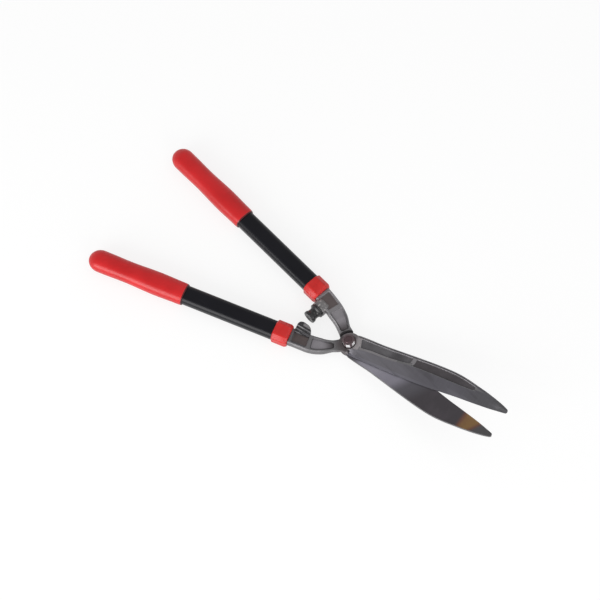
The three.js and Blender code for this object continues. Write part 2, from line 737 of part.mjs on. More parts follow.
function grip() {
  const stations = [];
  const straight = 1 - gripEndShare;
  const add = (share, scale) => stations.push({
    section: gripSection(scale),
    matrix: new THREE.Matrix4().copy(alongHandle).setPosition(gripStart + share * gripLength, 0, 0),
  });
  for (let i = 0; i <= 10; i++) {
    const share = (i / 10) * straight;
    add(share, smooth(gripSwellShares, share));
    if (i === 0) add(0.008, smooth(gripSwellShares, 0.03));
  }
  for (let i = 1; i <= 7; i++) {
    const turn = (i / 7) * (Math.PI / 2) * 0.985;
    add(straight + gripEndShare * Math.sin(turn), smooth(gripSwellShares, straight) * Math.cos(turn));
  }
  const bore = prism(tubeSection(slack), gripStart - overrun, plugEnd + slack).applyMatrix4(alongHandle);
  return solid(loft(stations)).subtract(solid(bore));
}

const shears = new THREE.Group();

function addHalf(side, word) {
  const handle = handlePlace(side);
  const pins = placedSolid(pinHole(), handle);
  const onHandle = (body) => body.transform(handle.elements);
  shears.add(meshOf(`${word}_blade`, forging(side), forgedSteel()));
  shears.add(meshOf(`${word}_tube`, placedSolid(tube(), handle).subtract(pins), paintedTube()));
  shears.add(meshOf(`${word}_tang_sleeve`, placedSolid(sleeve(), handle).subtract(pins), greyNylon()));
  shears.add(meshOf(`${word}_tang_pin`, placedSolid(tangPin(), handle), zincSteel()));
  shears.add(meshOf(`${word}_collar`, onHandle(collar()), redPlastic()));
  shears.add(meshOf(`${word}_end_plug`, onHandle(endPlug()), greyNylon()));
  shears.add(meshOf(`${word}_grip`, onHandle(grip()), redVinyl()));
}

addHalf(1, "front");
addHalf(-1, "rear");
shears.add(meshOf("pivot_bolt", pivotBolt(), brownedSteel()));
const washer = ringWasher(washerDiameter, washerSeat, washerThickness, 0);
shears.add(meshOf("pivot_washer", placedSolid(washer, crank), zincSteel()));
const spring = ringWasher(springWasherDiameter, springSeat, springWasherThickness, springWasherRise);
shears.add(meshOf("spring_washer", placedSolid(spring, crank), zincSteel()));
shears.add(meshOf("pivot_nut", pivotNut(), brownedSteel()));
const rearHandle = handlePlace(-1);
shears.add(meshOf("rubber_bumper", placedSolid(bumper(), acrossHandle, stopShift, rearHandle), blackRubber()));
shears.add(meshOf("bumper_stud", placedSolid(stud(), acrossHandle, stopShift, rearHandle), zincSteel()));

// The origin is under the middle of the shears, on the table that they lie on
const bounds = new THREE.Box3().setFromObject(shears);
const middle = bounds.getCenter(new THREE.Vector3());
shears.position.set(-middle.x, -middle.y, -bounds.min.z);

export default shears;
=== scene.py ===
import json
import math

import bmesh
import bpy
from mathutils import Matrix, Vector


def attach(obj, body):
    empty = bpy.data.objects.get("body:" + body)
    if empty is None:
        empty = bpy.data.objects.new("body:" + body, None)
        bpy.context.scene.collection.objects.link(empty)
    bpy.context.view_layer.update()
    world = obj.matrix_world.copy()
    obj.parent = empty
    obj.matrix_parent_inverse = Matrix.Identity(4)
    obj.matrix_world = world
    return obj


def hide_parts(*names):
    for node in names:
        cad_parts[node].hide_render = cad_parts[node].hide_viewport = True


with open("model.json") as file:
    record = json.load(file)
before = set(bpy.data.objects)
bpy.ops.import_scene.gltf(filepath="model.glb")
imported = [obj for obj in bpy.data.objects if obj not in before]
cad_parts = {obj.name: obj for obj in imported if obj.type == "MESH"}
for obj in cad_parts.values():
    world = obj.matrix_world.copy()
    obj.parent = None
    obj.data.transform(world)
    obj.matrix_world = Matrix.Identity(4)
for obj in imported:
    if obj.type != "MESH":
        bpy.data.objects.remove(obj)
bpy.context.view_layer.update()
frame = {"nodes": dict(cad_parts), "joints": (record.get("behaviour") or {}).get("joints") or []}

# The table top: one plain pale sheet that the shears lie on, lit evenly from all round.
# A broad soft lamp stands low on the near side, one past the blade tips, and a weak one above.
# The camera looks down on the shears from their near side, with the blade tips to the right.
class Reading:
    """What a node gives out, which Python sums can be written on."""

    def __init__(self, nodes, socket):
        self.nodes = nodes
        self.socket = socket

    def __add__(self, other):
        return self.nodes.maths("ADD", self, other)

    def __radd__(self, other):
        return self.nodes.maths("ADD", other, self)

    def __sub__(self, other):
        return self.nodes.maths("SUBTRACT", self, other)

    def __rsub__(self, other):
        return self.nodes.maths("SUBTRACT", other, self)

    def __mul__(self, other):
        return self.nodes.maths("MULTIPLY", self, other)

    def __rmul__(self, other):
        return self.nodes.maths("MULTIPLY", other, self)

    def __truediv__(self, other):
        return self.nodes.maths("DIVIDE", self, other)

    def between(self, low, high):
        """0 below low and 1 above high, or the other way round where low is the greater."""
        ends = {"Value": self, "From Min": low, "From Max": high}
        return self.nodes.node("MapRange", ends, {"interpolation_type": "SMOOTHSTEP"})


class Nodes:
    """A tree of nodes; a kind with no family named is a shader's."""

    def __init__(self, tree):
        self.tree = tree

    def node(self, kind, inputs=(), settings=(), out=0):
        made = self.tree.nodes.new(kind if "Node" in kind else "ShaderNode" + kind)
        for key, value in dict(settings).items():
            setattr(made, key, value)
        for key, value in dict(inputs).items():
            self.plug(value, made.inputs[key])
        return Reading(self, made.outputs[out])

    def plug(self, value, socket):
        if isinstance(value, Reading):
            self.tree.links.new(value.socket, socket)
        elif isinstance(value, tuple) and len(value) == 3 and socket.type == "RGBA":
            socket.default_value = (*value, 1.0)
        else:
            socket.default_value = value

    def maths(self, operation, *terms):
        return self.node("Math", dict(enumerate(terms)), {"operation": operation})


class Finish(Nodes):
    """The nodes of one material or of the room, and the shader that they feed."""

    def __init__(self, name, owner=None, **constants):
        self.owner = owner or bpy.data.materials.new(name)
        self.owner.use_nodes = True
        super().__init__(self.owner.node_tree)
        self.shader = self.tree.nodes.get("Principled BSDF")
        self.wear(**constants)

    def place(self, origin=(0, 0, 0), turn=(0, 0, 0)):
        """Where a point lies, in a frame that is moved and turned from the object's."""
        here = self.node("TexCoord", out="Object")
        ends = {"Vector": here, "Location": origin, "Rotation": turn}
        return self.node("Mapping", ends, {"vector_type": "TEXTURE"})

    def stretched(self, place, scale):
        return self.node("Mapping", {"Vector": place, "Scale": scale})

    def axis(self, place, name):
        return self.node("SeparateXYZ", {"Vector": place}, out=name)

    def noise(self, place, scale, detail=3.0, roughness=0.5):
        ends = {"Vector": place, "Scale": scale, "Detail": detail, "Roughness": roughness}
        return self.node("TexNoise", ends)

    def mixed(self, share, low, high):
        """A colour between two."""
        ends = {"Factor": share, 6: low, 7: high}
        return self.node("Mix", ends, {"data_type": "RGBA"}, out=2)

    def coated(self, colour, *coats):
        """A colour with others laid over it in turn, each by its share."""
        for share, over in coats:
            colour = self.mixed(share, colour, over)
        return colour

    def bump(self, height, depth, strength=1.0, onto=None):
        ends = {"Height": height, "Distance": depth, "Strength": strength}
        if onto is not None:
            ends["Normal"] = onto
        return self.node("Bump", ends)

    def wear(self, **sockets):
        """Feeds the shader, a constant or what changes over the surface to each socket."""
        for socket, value in sockets.items():
            self.plug(value, self.shader.inputs[socket.replace("_", " ")])
        return self.owner


def srgb(red, green, blue):
    """A colour in linear light, from the 0 to 255 values that a screen shows."""
    def linear(level):
        share = level / 255
        return share / 12.92 if share <= 0.04045 else ((share + 0.055) / 1.055) ** 2.4
    return (linear(red), linear(green), linear(blue))


def paper_rays(finish):
    """1 on rays that see the paper straight, in a mirror or through glass."""
    camera = finish.node("LightPath", out="Is Camera Ray")
    glossy = finish.node("LightPath", out="Is Glossy Ray")
    through = finish.node("LightPath", out="Is Transmission Ray")
    return finish.maths("MAXIMUM", finish.maths("MAXIMUM", camera, glossy), through)


def new_piece(name, points, faces, materials, indices=None):
    mesh = bpy.data.meshes.new(name)
    mesh.from_pydata(points, [], faces)
    for material in materials:
        mesh.materials.append(material)
    if indices:
        mesh.polygons.foreach_set("material_index", indices)
    piece = bpy.data.objects.new(name, mesh)
    bpy.context.collection.objects.link(piece)
    return piece


def set_table():
    half, level = 4.0, -0.0003
    corners = [(x * half, y * half, level) for x, y in ((-1, -1), (1, -1), (1, 1), (-1, 1))]
    finish = Finish("table paper", Roughness=0.9, Specular_IOR_Level=0.2, Emission_Strength=1.0)
    seen = paper_rays(finish)
    lit = finish.mixed(seen, (0.45, 0.45, 0.45), (0.22, 0.22, 0.22))
    glow = finish.mixed(seen, (0.0, 0.0, 0.0), (0.8, 0.8, 0.8))
    paper = finish.wear(Base_Color=lit, Emission_Color=glow)
    new_piece("table_top", corners, [(0, 1, 2, 3)], [paper])


def set_room():
    """White at the height of the eye, and dimmer towards the ceiling."""
    world = bpy.data.worlds.new("studio")
    bpy.context.scene.world = world
    room = Finish("studio", owner=world)
    background = room.tree.nodes["Background"]
    height = room.axis(room.node("TexCoord", out="Generated"), "Z")
    room.plug((1.0, 1.0, 1.0), background.inputs["Color"])
    room.plug(0.4 + 0.5 * height.between(1.0, 0.0), background.inputs["Strength"])


def add_lamp(name, place, size, power):
    aim = Vector((0.0, 0.0, 0.03))
    lamp = bpy.data.lights.new(name, "AREA")
    lamp.shape = "DISK"
    lamp.size = size
    lamp.energy = power
    made = bpy.data.objects.new(name, lamp)
    made.location = place
    made.rotation_mode = "QUATERNION"
    made.rotation_quaternion = (aim - Vector(place)).to_track_quat("-Z", "Y")
    bpy.context.collection.objects.link(made)


def set_camera():
    stand = Vector((0.62205, -0.84540, 2.47477))
    azimuth, elevation, roll = (math.radians(a) for a in (37.03, 66.39, -1.92))
    back = Vector((
        math.sin(azimuth) * math.cos(elevation),
        -math.cos(azimuth) * math.cos(elevation),
        math.sin(elevation),
    ))
    level = Vector((math.cos(azimuth), math.sin(azimuth), 0))
    above = back.cross(level)
    right = math.cos(roll) * level + math.sin(roll) * above
    up = back.cross(right)
    lens = bpy.data.cameras.new("camera")
    lens.lens = 120
    lens.sensor_width = 36
    lens.clip_end = 20
    camera = bpy.data.objects.new("camera", lens)
    turn = Matrix((right, up, back)).transposed().to_4x4()
    camera.matrix_world = Matrix.Translation(stand) @ turn
    bpy.context.collection.objects.link(camera)
    bpy.context.scene.camera = camera


set_table()
set_room()
add_lamp("near_softbox", (-0.35, -1.85, 0.6), 1.7, 28)
add_lamp("tip_side_softbox", (1.7, -1.2, 0.9), 1.4, 12)
add_lamp("top_softbox", (0.6, 0.6, 1.9), 1.2, 3)
set_camera()
bpy.context.scene.view_settings.view_transform = "Standard"

# The two forged halves: each is one piece of drop-forged steel, with its blade, boss, shank
# and tang. The blade is ground outside and hollow-ground inside, its outer face keeps two sunk
# panels, and the shank has a web between raised rims, a pad, and its half of the closing stop.
MM = 0.001
CRANK, SPREAD = math.radians(13.6), math.radians(11.7)
OFFSET, DROP, STOP = 22.3, 3.0, 64.33
SLACK, RELIEF = 0.3, 0.1
pivot = Vector(next(j for j in frame["joints"] if j["name"] == "blade_pivot")["pos_m"])
pin_way = Vector((-math.sin(CRANK), 0, math.cos(CRANK)))
blade_frame = (
    Matrix.Translation(pivot)
    @ Matrix((
        (math.cos(CRANK), 0, -math.sin(CRANK)),
        (0, 1, 0),
        (math.sin(CRANK), 0, math.cos(CRANK)),
    )).to_4x4()
    @ Matrix.Scale(MM, 4)
)
SIDES = {"front": 1, "rear": -1}


def blade_place(side):
    return blade_frame @ Matrix.Diagonal((1, side, side, 1))


def handle_place(side):
    """X out along the handle, Y towards the other handle, Z up, in millimetres.

    The handles spread from the pivot's line and lie level, while the blades rise by the crank.
    """
    along = Vector((-math.cos(SPREAD), -side * math.sin(SPREAD), 0))
    inward = Vector((-math.sin(SPREAD), side * math.cos(SPREAD), 0))
    turn = Matrix((along, inward, (0, 0, 1))).transposed().to_4x4()
    base = Matrix.Translation(pivot + pin_way * DROP * MM) @ Matrix.Scale(MM, 4)
    return base @ Matrix.Translation(-OFFSET * inward) @ turn


def smooth(shares, at):
    """A smooth line through pairs of share and value."""
    last = len(shares) - 1
    i = next((k - 1 for k, pair in enumerate(shares) if pair[0] > at), last - 1)
    i = min(max(i, 0), last - 1)

    def slope(k):
        before, after = shares[max(k - 1, 0)], shares[min(k + 1, last)]
        return (after[1] - before[1]) / (after[0] - before[0])

    step = shares[i + 1][0] - shares[i][0]
    t = min(max((at - shares[i][0]) / step, 0), 1)
    rise = shares[i + 1][1] - shares[i][1]
    bend = (1 - t) * (slope(i) * step - rise) - t * (slope(i + 1) * step - rise)
    return shares[i][1] + t * rise + t * (1 - t) * bend


CORNERS, CORNER_STEPS = 16, 3


def eased(ring, radii, steps=CORNER_STEPS):
    """A section with each of its corners rounded off, and a point on the flat at each side."""
    made = []
    for i, corner in enumerate(ring):
        back, ahead = ring[i - 1] - corner, ring[(i + 1) % len(ring)] - corner
        reach = min(radii[i], 0.42 * back.length, 0.42 * ahead.length)
        start = corner + back.normalized() * reach
        end = corner + ahead.normalized() * reach
        hold = min(0.12, 0.06 * back.length, 0.06 * ahead.length)
        made.append(start + back.normalized() * hold)
        for k in range(steps + 1):
            t = k / steps
            made.append(start * (1 - t) ** 2 + corner * 2 * t * (1 - t) + end * t * t)
        made.append(end + ahead.normalized() * hold)
    return made


def strip_after(i):
    """The corner of a section that a strip of faces rounds or follows, and whether it is flat."""
    corner, k = divmod(i, CORNER_STEPS + 3)
    if k == 0:
        return (corner - 1) % CORNERS, True
    return corner, k > CORNER_STEPS


def skinned(name, rings, place, materials, bands=0, cap=0):
    """A closed skin over rings of points; bands tell the material, for all or for each strip."""
    count = len(rings[0])
    points = [place @ Vector(point) for ring in rings for point in ring]
    faces, indices = [], []
    for r in range(len(rings) - 1):
        for i in range(count):
            here, ahead = r * count + i, r * count + (i + 1) % count
            faces.append((here, ahead, ahead + count, here + count))
            indices.append(bands(r, i) if callable(bands) else bands)
    last = (len(rings) - 1) * count
    faces.append(tuple(reversed(range(count))))
    faces.append(tuple(range(last, last + count)))
    indices += [cap, cap]
    piece = new_piece(name, points, faces, materials, indices)
    tidy_skin(piece)
    return piece


def tidy_skin(piece, merge=1e-6):
    shape = bmesh.new()
    shape.from_mesh(piece.data)
    bmesh.ops.remove_doubles(shape, verts=shape.verts, dist=merge)
    bmesh.ops.recalc_face_normals(shape, faces=shape.faces)
    shape.to_mesh(piece.data)
    shape.free()


def turned(name, profile, place, materials, sides):
    """A profile of radius and height pairs, turned about Z. It starts and ends on the axis."""
    rings = []
    for radius, height in profile:
        angles = [2 * math.pi * k / sides for k in range(sides)]
        rings.append([(radius * math.cos(a), radius * math.sin(a), height) for a in angles])
    return skinned(name, rings, place, materials)


def plain_mesh(piece):
    """The mesh that a piece's modifiers make of it."""
    evaluated = piece.evaluated_get(bpy.context.evaluated_depsgraph_get())
    return bpy.data.meshes.new_from_object(evaluated)


def worked(piece, operation, *tools):
    """Joins other shapes to a piece, cuts them out of it, or keeps what they share."""
    for tool in tools:
        cut = piece.modifiers.new("cut", "BOOLEAN")
        cut.operation = operation
        cut.solver = "MANIFOLD"
        cut.object = tool
        made = plain_mesh(piece)
        piece.modifiers.clear()
        old = piece.data
        made.name = old.name
        piece.data = made
        bpy.data.meshes.remove(old)
        bpy.data.objects.remove(tool, do_unlink=True)
    return piece


def shaded(piece, angle=32):
    piece.data.polygons.foreach_set("use_smooth", [True] * len(piece.data.polygons))
    piece.data.set_sharp_from_angle(angle=math.radians(angle))
    return piece


def stands_for(piece, node, body):
    """Puts a finished piece in the place of a CAD piece."""
    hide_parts(node)
    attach(piece, body)


def pinch(inset, radius):
    """How far a rounded corner draws in at a distance from the end of a panel."""
    if inset >= radius:
        return 0
    return radius - math.sqrt(max(radius ** 2 - (radius - max(inset, 0)) ** 2, 0))


def ramp(t):
    """0 up to 0, 1 from 1 on, and an easy way up between them."""
    t = min(max(t, 0), 1)
    return t * t * (3 - 2 * t)


def depth_share(at, start, end, draft):
    """1 inside a stretch and 0 outside it, with a ramp at each end."""
    return ramp(min(at - start, end - at) / draft)


def quarter_turn(steps, first=0):
    """Angles in even steps, up to a right angle."""
    return [k / steps * math.pi / 2 for k in range(first, steps + 1)]


def places_along(length, step, stretches, fine, reach):
    """Places for rings: even steps, with fine steps near the ends of each stretch."""
    places = {round(k * length / round(length / step), 3) for k in range(round(length / step) + 1)}
    for end in [e for stretch in stretches for e in stretch]:
        count = round(2 * reach / fine)
        places |= {round(end - reach + k * fine, 3) for k in range(count + 1)}
    return sorted(p for p in places if 0 <= p <= length)


def from_pivot(finish, slant=0):
    """Where a point lies from the pivot: X along the blade, Y across it and Z along the bolt."""
    return finish.place(origin=tuple(pivot), turn=(0, -CRANK, slant))


# Forged and shot-blasted steel: a fine grain and a brown cast where the boss was heated longest;
# on the web floors and walls the brown reaches further and there is also painted shade near the
# boss. The rear shank is rubbed lighter. The boss marks are a painted highlight along the boss's
# crown, a lighter toe, and painted shade on the spine beside the boss, and specks are rubbed spots.
def forged_finish(
        name, low, high, brown, grain, brown_reach=(0.024, 0.012), boss_marks=0.0, specks=0.0, handled=0.3):
    finish = Finish(name, Metallic=0.7)
    here = finish.place()
    clouds = finish.noise(here, 45, 4)
    fine = finish.noise(here, 900, 2)
    about = from_pivot(finish)
    away = finish.node("VectorMath", {0: about}, {"operation": "LENGTH"}, out="Value")
    along = finish.axis(about, "X")
    # The brown cast near the boss; with the wider brown reach of the web floors and walls it also stands
    # in for shade near the boss, as painted shade
    heat_tint_and_shade = away.between(*brown_reach) * along.between(0.011, 0.005)
    side = finish.axis(here, "Y")
    rear_shank = along.between(-0.02, -0.035) * side.between(0.004, 0.012)
    coats = [(rear_shank * handled, srgb(176, 173, 176)), (heat_tint_and_shade * (0.7 + 0.3 * clouds), brown)]
    if boss_marks:
        # crown: a painted highlight along the boss's rim
        crown = away.between(0.0116, 0.0128) * away.between(0.0165, 0.0155) * side.between(0.002, 0.006)
        toe = along.between(0.003, 0.0085) * along.between(0.03, 0.02)
        # scale: painted shade on the spine beside the boss, in a near-black grey
        scale = along.between(0.004, 0.009) * along.between(0.04, 0.012) * side.between(-0.0135, -0.0148)
        coats += [
            (crown * boss_marks, srgb(132, 126, 128)), (toe * boss_marks, srgb(176, 170, 172)),
            (scale * boss_marks, srgb(44, 43, 45)),
        ]
    if specks:
        rubbed = finish.noise(here, 330, 2)
        coats.append((rubbed.between(0.56, 0.66) * specks, srgb(204, 201, 198)))
    colour = finish.coated(finish.mixed(clouds.between(0.3, 0.7), low, high), *coats)
    pits = finish.bump(fine, grain, 0.6)
    rolled = finish.bump(clouds, 0.0006, 0.35, onto=pits)
    return finish.wear(
        Base_Color=colour, Roughness=0.38 + 0.2 * fine + 0.08 * clouds, Normal=rolled)


# Ground steel outside: close lines across the blade, long soft bands of the wheel along it, a
# darker cast towards the tip, and the tip itself rubbed dull
def ground_finish(name, near, far, tip):
    finish = Finish(name, Metallic=0.8)
    about = from_pivot(finish)
    along = finish.axis(about, "X")
    lines = finish.noise(finish.stretched(about, (1400, 40, 40)), 1.0, 2)
    slant = from_pivot(finish, math.radians(-12))
    bands = finish.noise(finish.stretched(slant, (14, 90, 20)), 1.0, 3)
    rubbed_tip = along.between(0.218, 0.23)
    colour = finish.coated(
        finish.mixed(along.between(0.07, 0.13), near, far),
        (along.between(0.15, 0.225), tip),
        (bands.between(0.5, 0.68) * 0.6, srgb(92, 90, 95)),
        (bands.between(0.46, 0.3) * 0.5, srgb(132, 130, 138)),
        (lines.between(0.45, 0.8) * 0.15, srgb(140, 139, 144)),
        (rubbed_tip, srgb(80, 79, 82)),
    )
    return finish.wear(
        Base_Color=colour, Roughness=0.28 + 0.12 * lines + 0.06 * bands + 0.45 * rubbed_tip,
        Metallic=0.8 - 0.6 * rubbed_tip, Normal=finish.bump(lines, 0.00003, 0.5))


# The hollow-ground inner face: painted shadow of the front half beside the boss, a painted light
# reflection as far as the blades rub, then a painted dark reflection further out, with a patch of
# straw colour near the tip
def inner_finish():
    finish = Finish("hollow_ground_steel", Metallic=0.8)
    about = from_pivot(finish)
    along, across = finish.axis(about, "X"), finish.axis(about, "Y")
    slant = along - 0.6 * across
    lines = finish.noise(finish.stretched(about, (1400, 40, 40)), 1.0, 2)
    bands = finish.noise(finish.stretched(about, (40, 26, 26)), 1.0, 3)
    straw = along.between(0.185, 0.2) * slant.between(0.231, 0.216)
    colour = finish.coated(
        finish.mixed(bands.between(0.25, 0.75), srgb(140, 137, 147), srgb(150, 147, 158)),
        # painted light reflection on the inner face near the pivot
        (slant.between(0.088, 0.055), srgb(166, 163, 174)),
        # painted shadow of the front half on the inner face beside the boss, a dull grey
        (along.between(0.031, 0.015) * 0.85, srgb(92, 90, 95)),
        # painted dark reflection further out along the blade, with a mottled edge
        (slant.between(0.091, 0.113), srgb(102, 100, 106)),
        (slant.between(0.113, 0.142), srgb(82, 78, 82)),
        (bands.between(0.5, 0.7) * slant.between(0.11, 0.13) * 0.4, srgb(98, 92, 98)),
        (slant.between(0.215, 0.222), srgb(94, 92, 94)),
        (straw.between(0.0, 0.5) * 0.85, srgb(124, 86, 74)),
        (straw.between(0.3, 0.9) * bands.between(0.2, 0.5), srgb(143, 112, 76)),
    )
    return finish.wear(
        Base_Color=colour, Roughness=0.46 + 0.12 * lines + 0.06 * bands,
        Normal=finish.bump(lines, 0.00003, 0.5))


FLUTE_RADIUS, FLUTE_PITCH, FLUTE_START = 1.3, 4.5, 8.0
FLUTE_TURN = math.radians(9)


# The lug's faces: dark, with painted highlights on the crests between the flutes, a painted lit
# flank towards the pivot, and painted shade at the root
def lug_finish():
    finish = Finish("lug_faces", Metallic=0.7)
    here = finish.place()
    clouds = finish.noise(here, 120, 4)
    fine = finish.noise(here, 900, 2)
    about = finish.place(origin=tuple(pivot), turn=(0, 0, SPREAD - FLUTE_TURN))
    rise = STOP * math.sin(FLUTE_TURN) + OFFSET * math.cos(FLUTE_TURN)
    inward = finish.axis(about, "Y") + rise * MM
    out = -1 * finish.axis(about, "X")
    flute = (inward - FLUTE_START * MM) / (FLUTE_PITCH * MM)
    turn = finish.maths("COSINE", flute * (2 * math.pi))
    # crest: painted highlights along the crests between the flutes
    crest = turn.between(-0.2, -0.75) * inward.between(0.018, 0.016)
    # rubbed: how strong the painted crest highlights are
    rubbed = (0.35 + 0.65 * out.between(0.06, 0.064)) * (0.45 + 0.55 * inward.between(0.011, 0.013))
    # flank: a painted lit patch on the flank towards the pivot
    flank = out.between(0.0665, 0.064) * inward.between(0.0145, 0.0165)
    # root: painted shade where the lug rises from the shank
    root = inward.between(0.0072, 0.0055)
    colour = finish.coated(
        finish.mixed(clouds.between(0.3, 0.7), srgb(66, 65, 68), srgb(84, 82, 85)),
        (crest * rubbed * (0.5 + 0.5 * clouds), srgb(196, 194, 196)),
        (flank * 0.9, srgb(152, 149, 151)),
        (root * 0.7, srgb(56, 55, 58)),
    )
    return finish.wear(
        Base_Color=colour, Roughness=0.38 + 0.2 * fine + 0.2 * root,
        Normal=finish.bump(fine, 0.00005, 0.6))


boss_brown, dark_brown = srgb(86, 78, 79), srgb(72, 66, 67)
STEELS = [
    forged_finish(
        "forged_steel", srgb(112, 111, 113), srgb(126, 124, 126), boss_brown, 0.00005, boss_marks=0.9),
    ground_finish("ground_steel", srgb(122, 120, 126), srgb(110, 108, 115), srgb(102, 101, 104)),
    forged_finish("sunk_panels", srgb(80, 76, 79), srgb(92, 88, 91), srgb(66, 58, 58), 0.00016),
    inner_finish(),
    # Dark walls: painted shade on the blade's panel walls, spine chamfer and groove, and in the lug's
    # flutes
    forged_finish("draft_walls", srgb(66, 65, 68), srgb(76, 75, 78), srgb(62, 56, 57), 0.00005),
    # Worn crests: worn lands, also painted highlights on the spine's roundings and on the land under the
    # near panel
    forged_finish("worn_crests", srgb(132, 129, 132), srgb(146, 143, 146), boss_brown, 0.00003),
    # Web floors: their dark brown towards the boss is partly painted shade
    forged_finish(
        "web_floors", srgb(140, 136, 141), srgb(154, 150, 155), dark_brown, 0.00008, (0.038, 0.021)),
    forged_finish(
        "pad_floors", srgb(88, 80, 79), srgb(104, 94, 93), dark_brown, 0.00012, handled=0.05),
    lug_finish(),
    forged_finish("cast_texture", srgb(86, 84, 87), srgb(112, 110, 113), boss_brown, 0.0004),
    ground_finish("edge_bevels", srgb(134, 132, 141), srgb(112, 110, 117), srgb(102, 101, 104)),
    forged_finish("seat_faces", srgb(82, 80, 80), srgb(120, 118, 117), dark_brown, 0.0003, specks=0.9),
    # Web walls: their dark brown towards the boss is partly painted shade
    forged_finish(
        "web_walls", srgb(98, 96, 99), srgb(108, 106, 109), srgb(60, 56, 57), 0.00005, (0.038, 0.021)),
]
(FORGED, GROUND, SUNK, INNER, WALL, LAND, WEBBED,
 PADDED, LUGGED, ROUGH, EDGE, SEATED, DRAFTED) = range(len(STEELS))

# The blade, from the pivot to the tip; its lines are pairs of a share of the reach and one of
# the width
REACH, WIDTH, THICK, TIP_ROUND = 238.0, 34.0, 5.0, 2.8
RIM, GROOVE, CHAMFER = 3.4, 0.4, 0.9
BEVEL, BEVEL_HEIGHT, EDGE_FLAT = 3.0, 1.3, 0.3
LAND_STEP, HOLLOW = 0.6, 0.5
PANEL_DEPTH, DRAFT, PANEL_CORNER, PANEL_SKEW, END_SKEW = 1.1, 0.8, 2.6, 0.26, 0.28
SKEW_START, SKEW_RUN, GROOVE_START, GROOVE_RUN, HOLLOW_RUN, FADE_RUN = 6, 14, 8, 14, 24, 16
NEAR_PANEL, FAR_PANEL, BRIDGE = (19.7, 89.4), (94.2, 184.5), 91.8
NEAR_BORDER, FAR_BORDER, BARE_LAND = 3.3, 0.9, (16, 72)
spine_shares = [
    (0, 0.405), (0.08, 0.487), (0.24, 0.646), (0.4, 0.81), (0.53, 0.93), (0.63, 0.99),
    (0.7, 0.98), (0.78, 0.92), (0.89, 0.805), (0.96, 0.705), (1, 0.62),
]
edge_shares = [
    (0, -0.45), (0.08, -0.41), (0.24, -0.32), (0.4, -0.2), (0.53, -0.085), (0.6, 0),
    (0.7, 0.12), (0.78, 0.2), (0.89, 0.32), (0.96, 0.42), (1, 0.48),
]
land_shares = [
    (0, -0.25), (0.07, -0.1), (0.14, 0.02), (0.21, 0.08), (0.275, 0.15), (0.39, 0.33),
    (0.5, 0.43), (0.625, 0.515), (0.75, 0.61), (0.82, 0.7), (0.89, 0.68), (0.96, 0.6), (1, 0.56),
]
thickness_shares = [(0, 1), (0.42, 1), (0.5, 1), (0.85, 0.74), (1, 0.52)]


def blade_ring(along):
    share = along / REACH
    spine_line, edge_line = smooth(spine_shares, share) * WIDTH, smooth(edge_shares, share) * WIDTH
    middle, half = (spine_line + edge_line) / 2, (spine_line - edge_line) / 2
    from_tip = min(REACH - along, TIP_ROUND)
    if from_tip < TIP_ROUND:
        half = min(half, math.sqrt(TIP_ROUND ** 2 - (TIP_ROUND - from_tip) ** 2) + EDGE_FLAT)
    spine, edge = middle + half, middle - half
    room = min(1, 2 * half / (RIM + BEVEL + 2 * DRAFT + LAND_STEP))
    thickness = smooth(thickness_shares, share) * THICK
    rim, bevel, step = RIM * room, BEVEL * room, LAND_STEP * room
    land_line = smooth(land_shares, share) * WIDTH
    land = min(max(land_line, edge + bevel + step), spine - rim)
    fade = depth_share(along, FAR_PANEL[1], 2 * REACH, FADE_RUN)
    step_depth = 0.4 * LAND_STEP * room * (1 - 0.9 * fade)
    stretch, border = (NEAR_PANEL, NEAR_BORDER) if along < BRIDGE else (FAR_PANEL, FAR_BORDER)
    sink = depth_share(along, *stretch, 1.0)
    drawn = pinch(min(along - stretch[0], stretch[1] - along), PANEL_CORNER) if sink > 0 else 0
    panel_top = spine - rim
    panel_foot = min(land + border * room, panel_top)
    drawn = min(drawn, 0.4 * (panel_top - panel_foot))
    draft = min(DRAFT * room, (panel_top - panel_foot) / 3)
    depth = PANEL_DEPTH * sink * min(1, draft / DRAFT)
    inside = SLACK / 2 + RELIEF
    hollow = HOLLOW * depth_share(along, 0, REACH, HOLLOW_RUN)
    chamfer = CHAMFER * room * (1 - 0.7 * fade)
    valley = GROOVE * room * depth_share(along, GROOVE_START, REACH - GROOVE_RUN, GROOVE_RUN)
    ring = [
        (edge, inside), (edge + 0.4 * half, inside + 0.8 * hollow), (middle, inside + hollow),
        (spine - 0.4 * half, inside + 0.8 * hollow), (spine, inside),
        (spine, thickness - chamfer), (spine - chamfer, thickness),
        (spine - (rim + chamfer) / 2, thickness - valley),
        (panel_top - drawn, thickness), (panel_top - draft - drawn, thickness - depth),
        (panel_foot + draft + drawn, thickness - depth), (panel_foot + drawn, thickness),
        (land, thickness), (land - step, thickness - step_depth),
        (edge + bevel, min(BEVEL_HEIGHT, thickness / 2)), (edge, inside + EDGE_FLAT),
    ]
    radii = [0.03, 3, 3, 3, 0.4, 0.5, 0.5, 0.6, 0.5, 0.35, 0.35, 0.35, 0.4, 0.8, 0.5, 0.03]
    skew = PANEL_SKEW + END_SKEW * depth_share(along, SKEW_START, 2 * REACH, SKEW_RUN)
    lean = skew * (1 - ramp((share - 0.1) / 0.1))
    made = eased([Vector(point) for point in ring], radii)
    return [(along - lean * max(p.x - land_line, 0), p.x, p.y) for p in made]


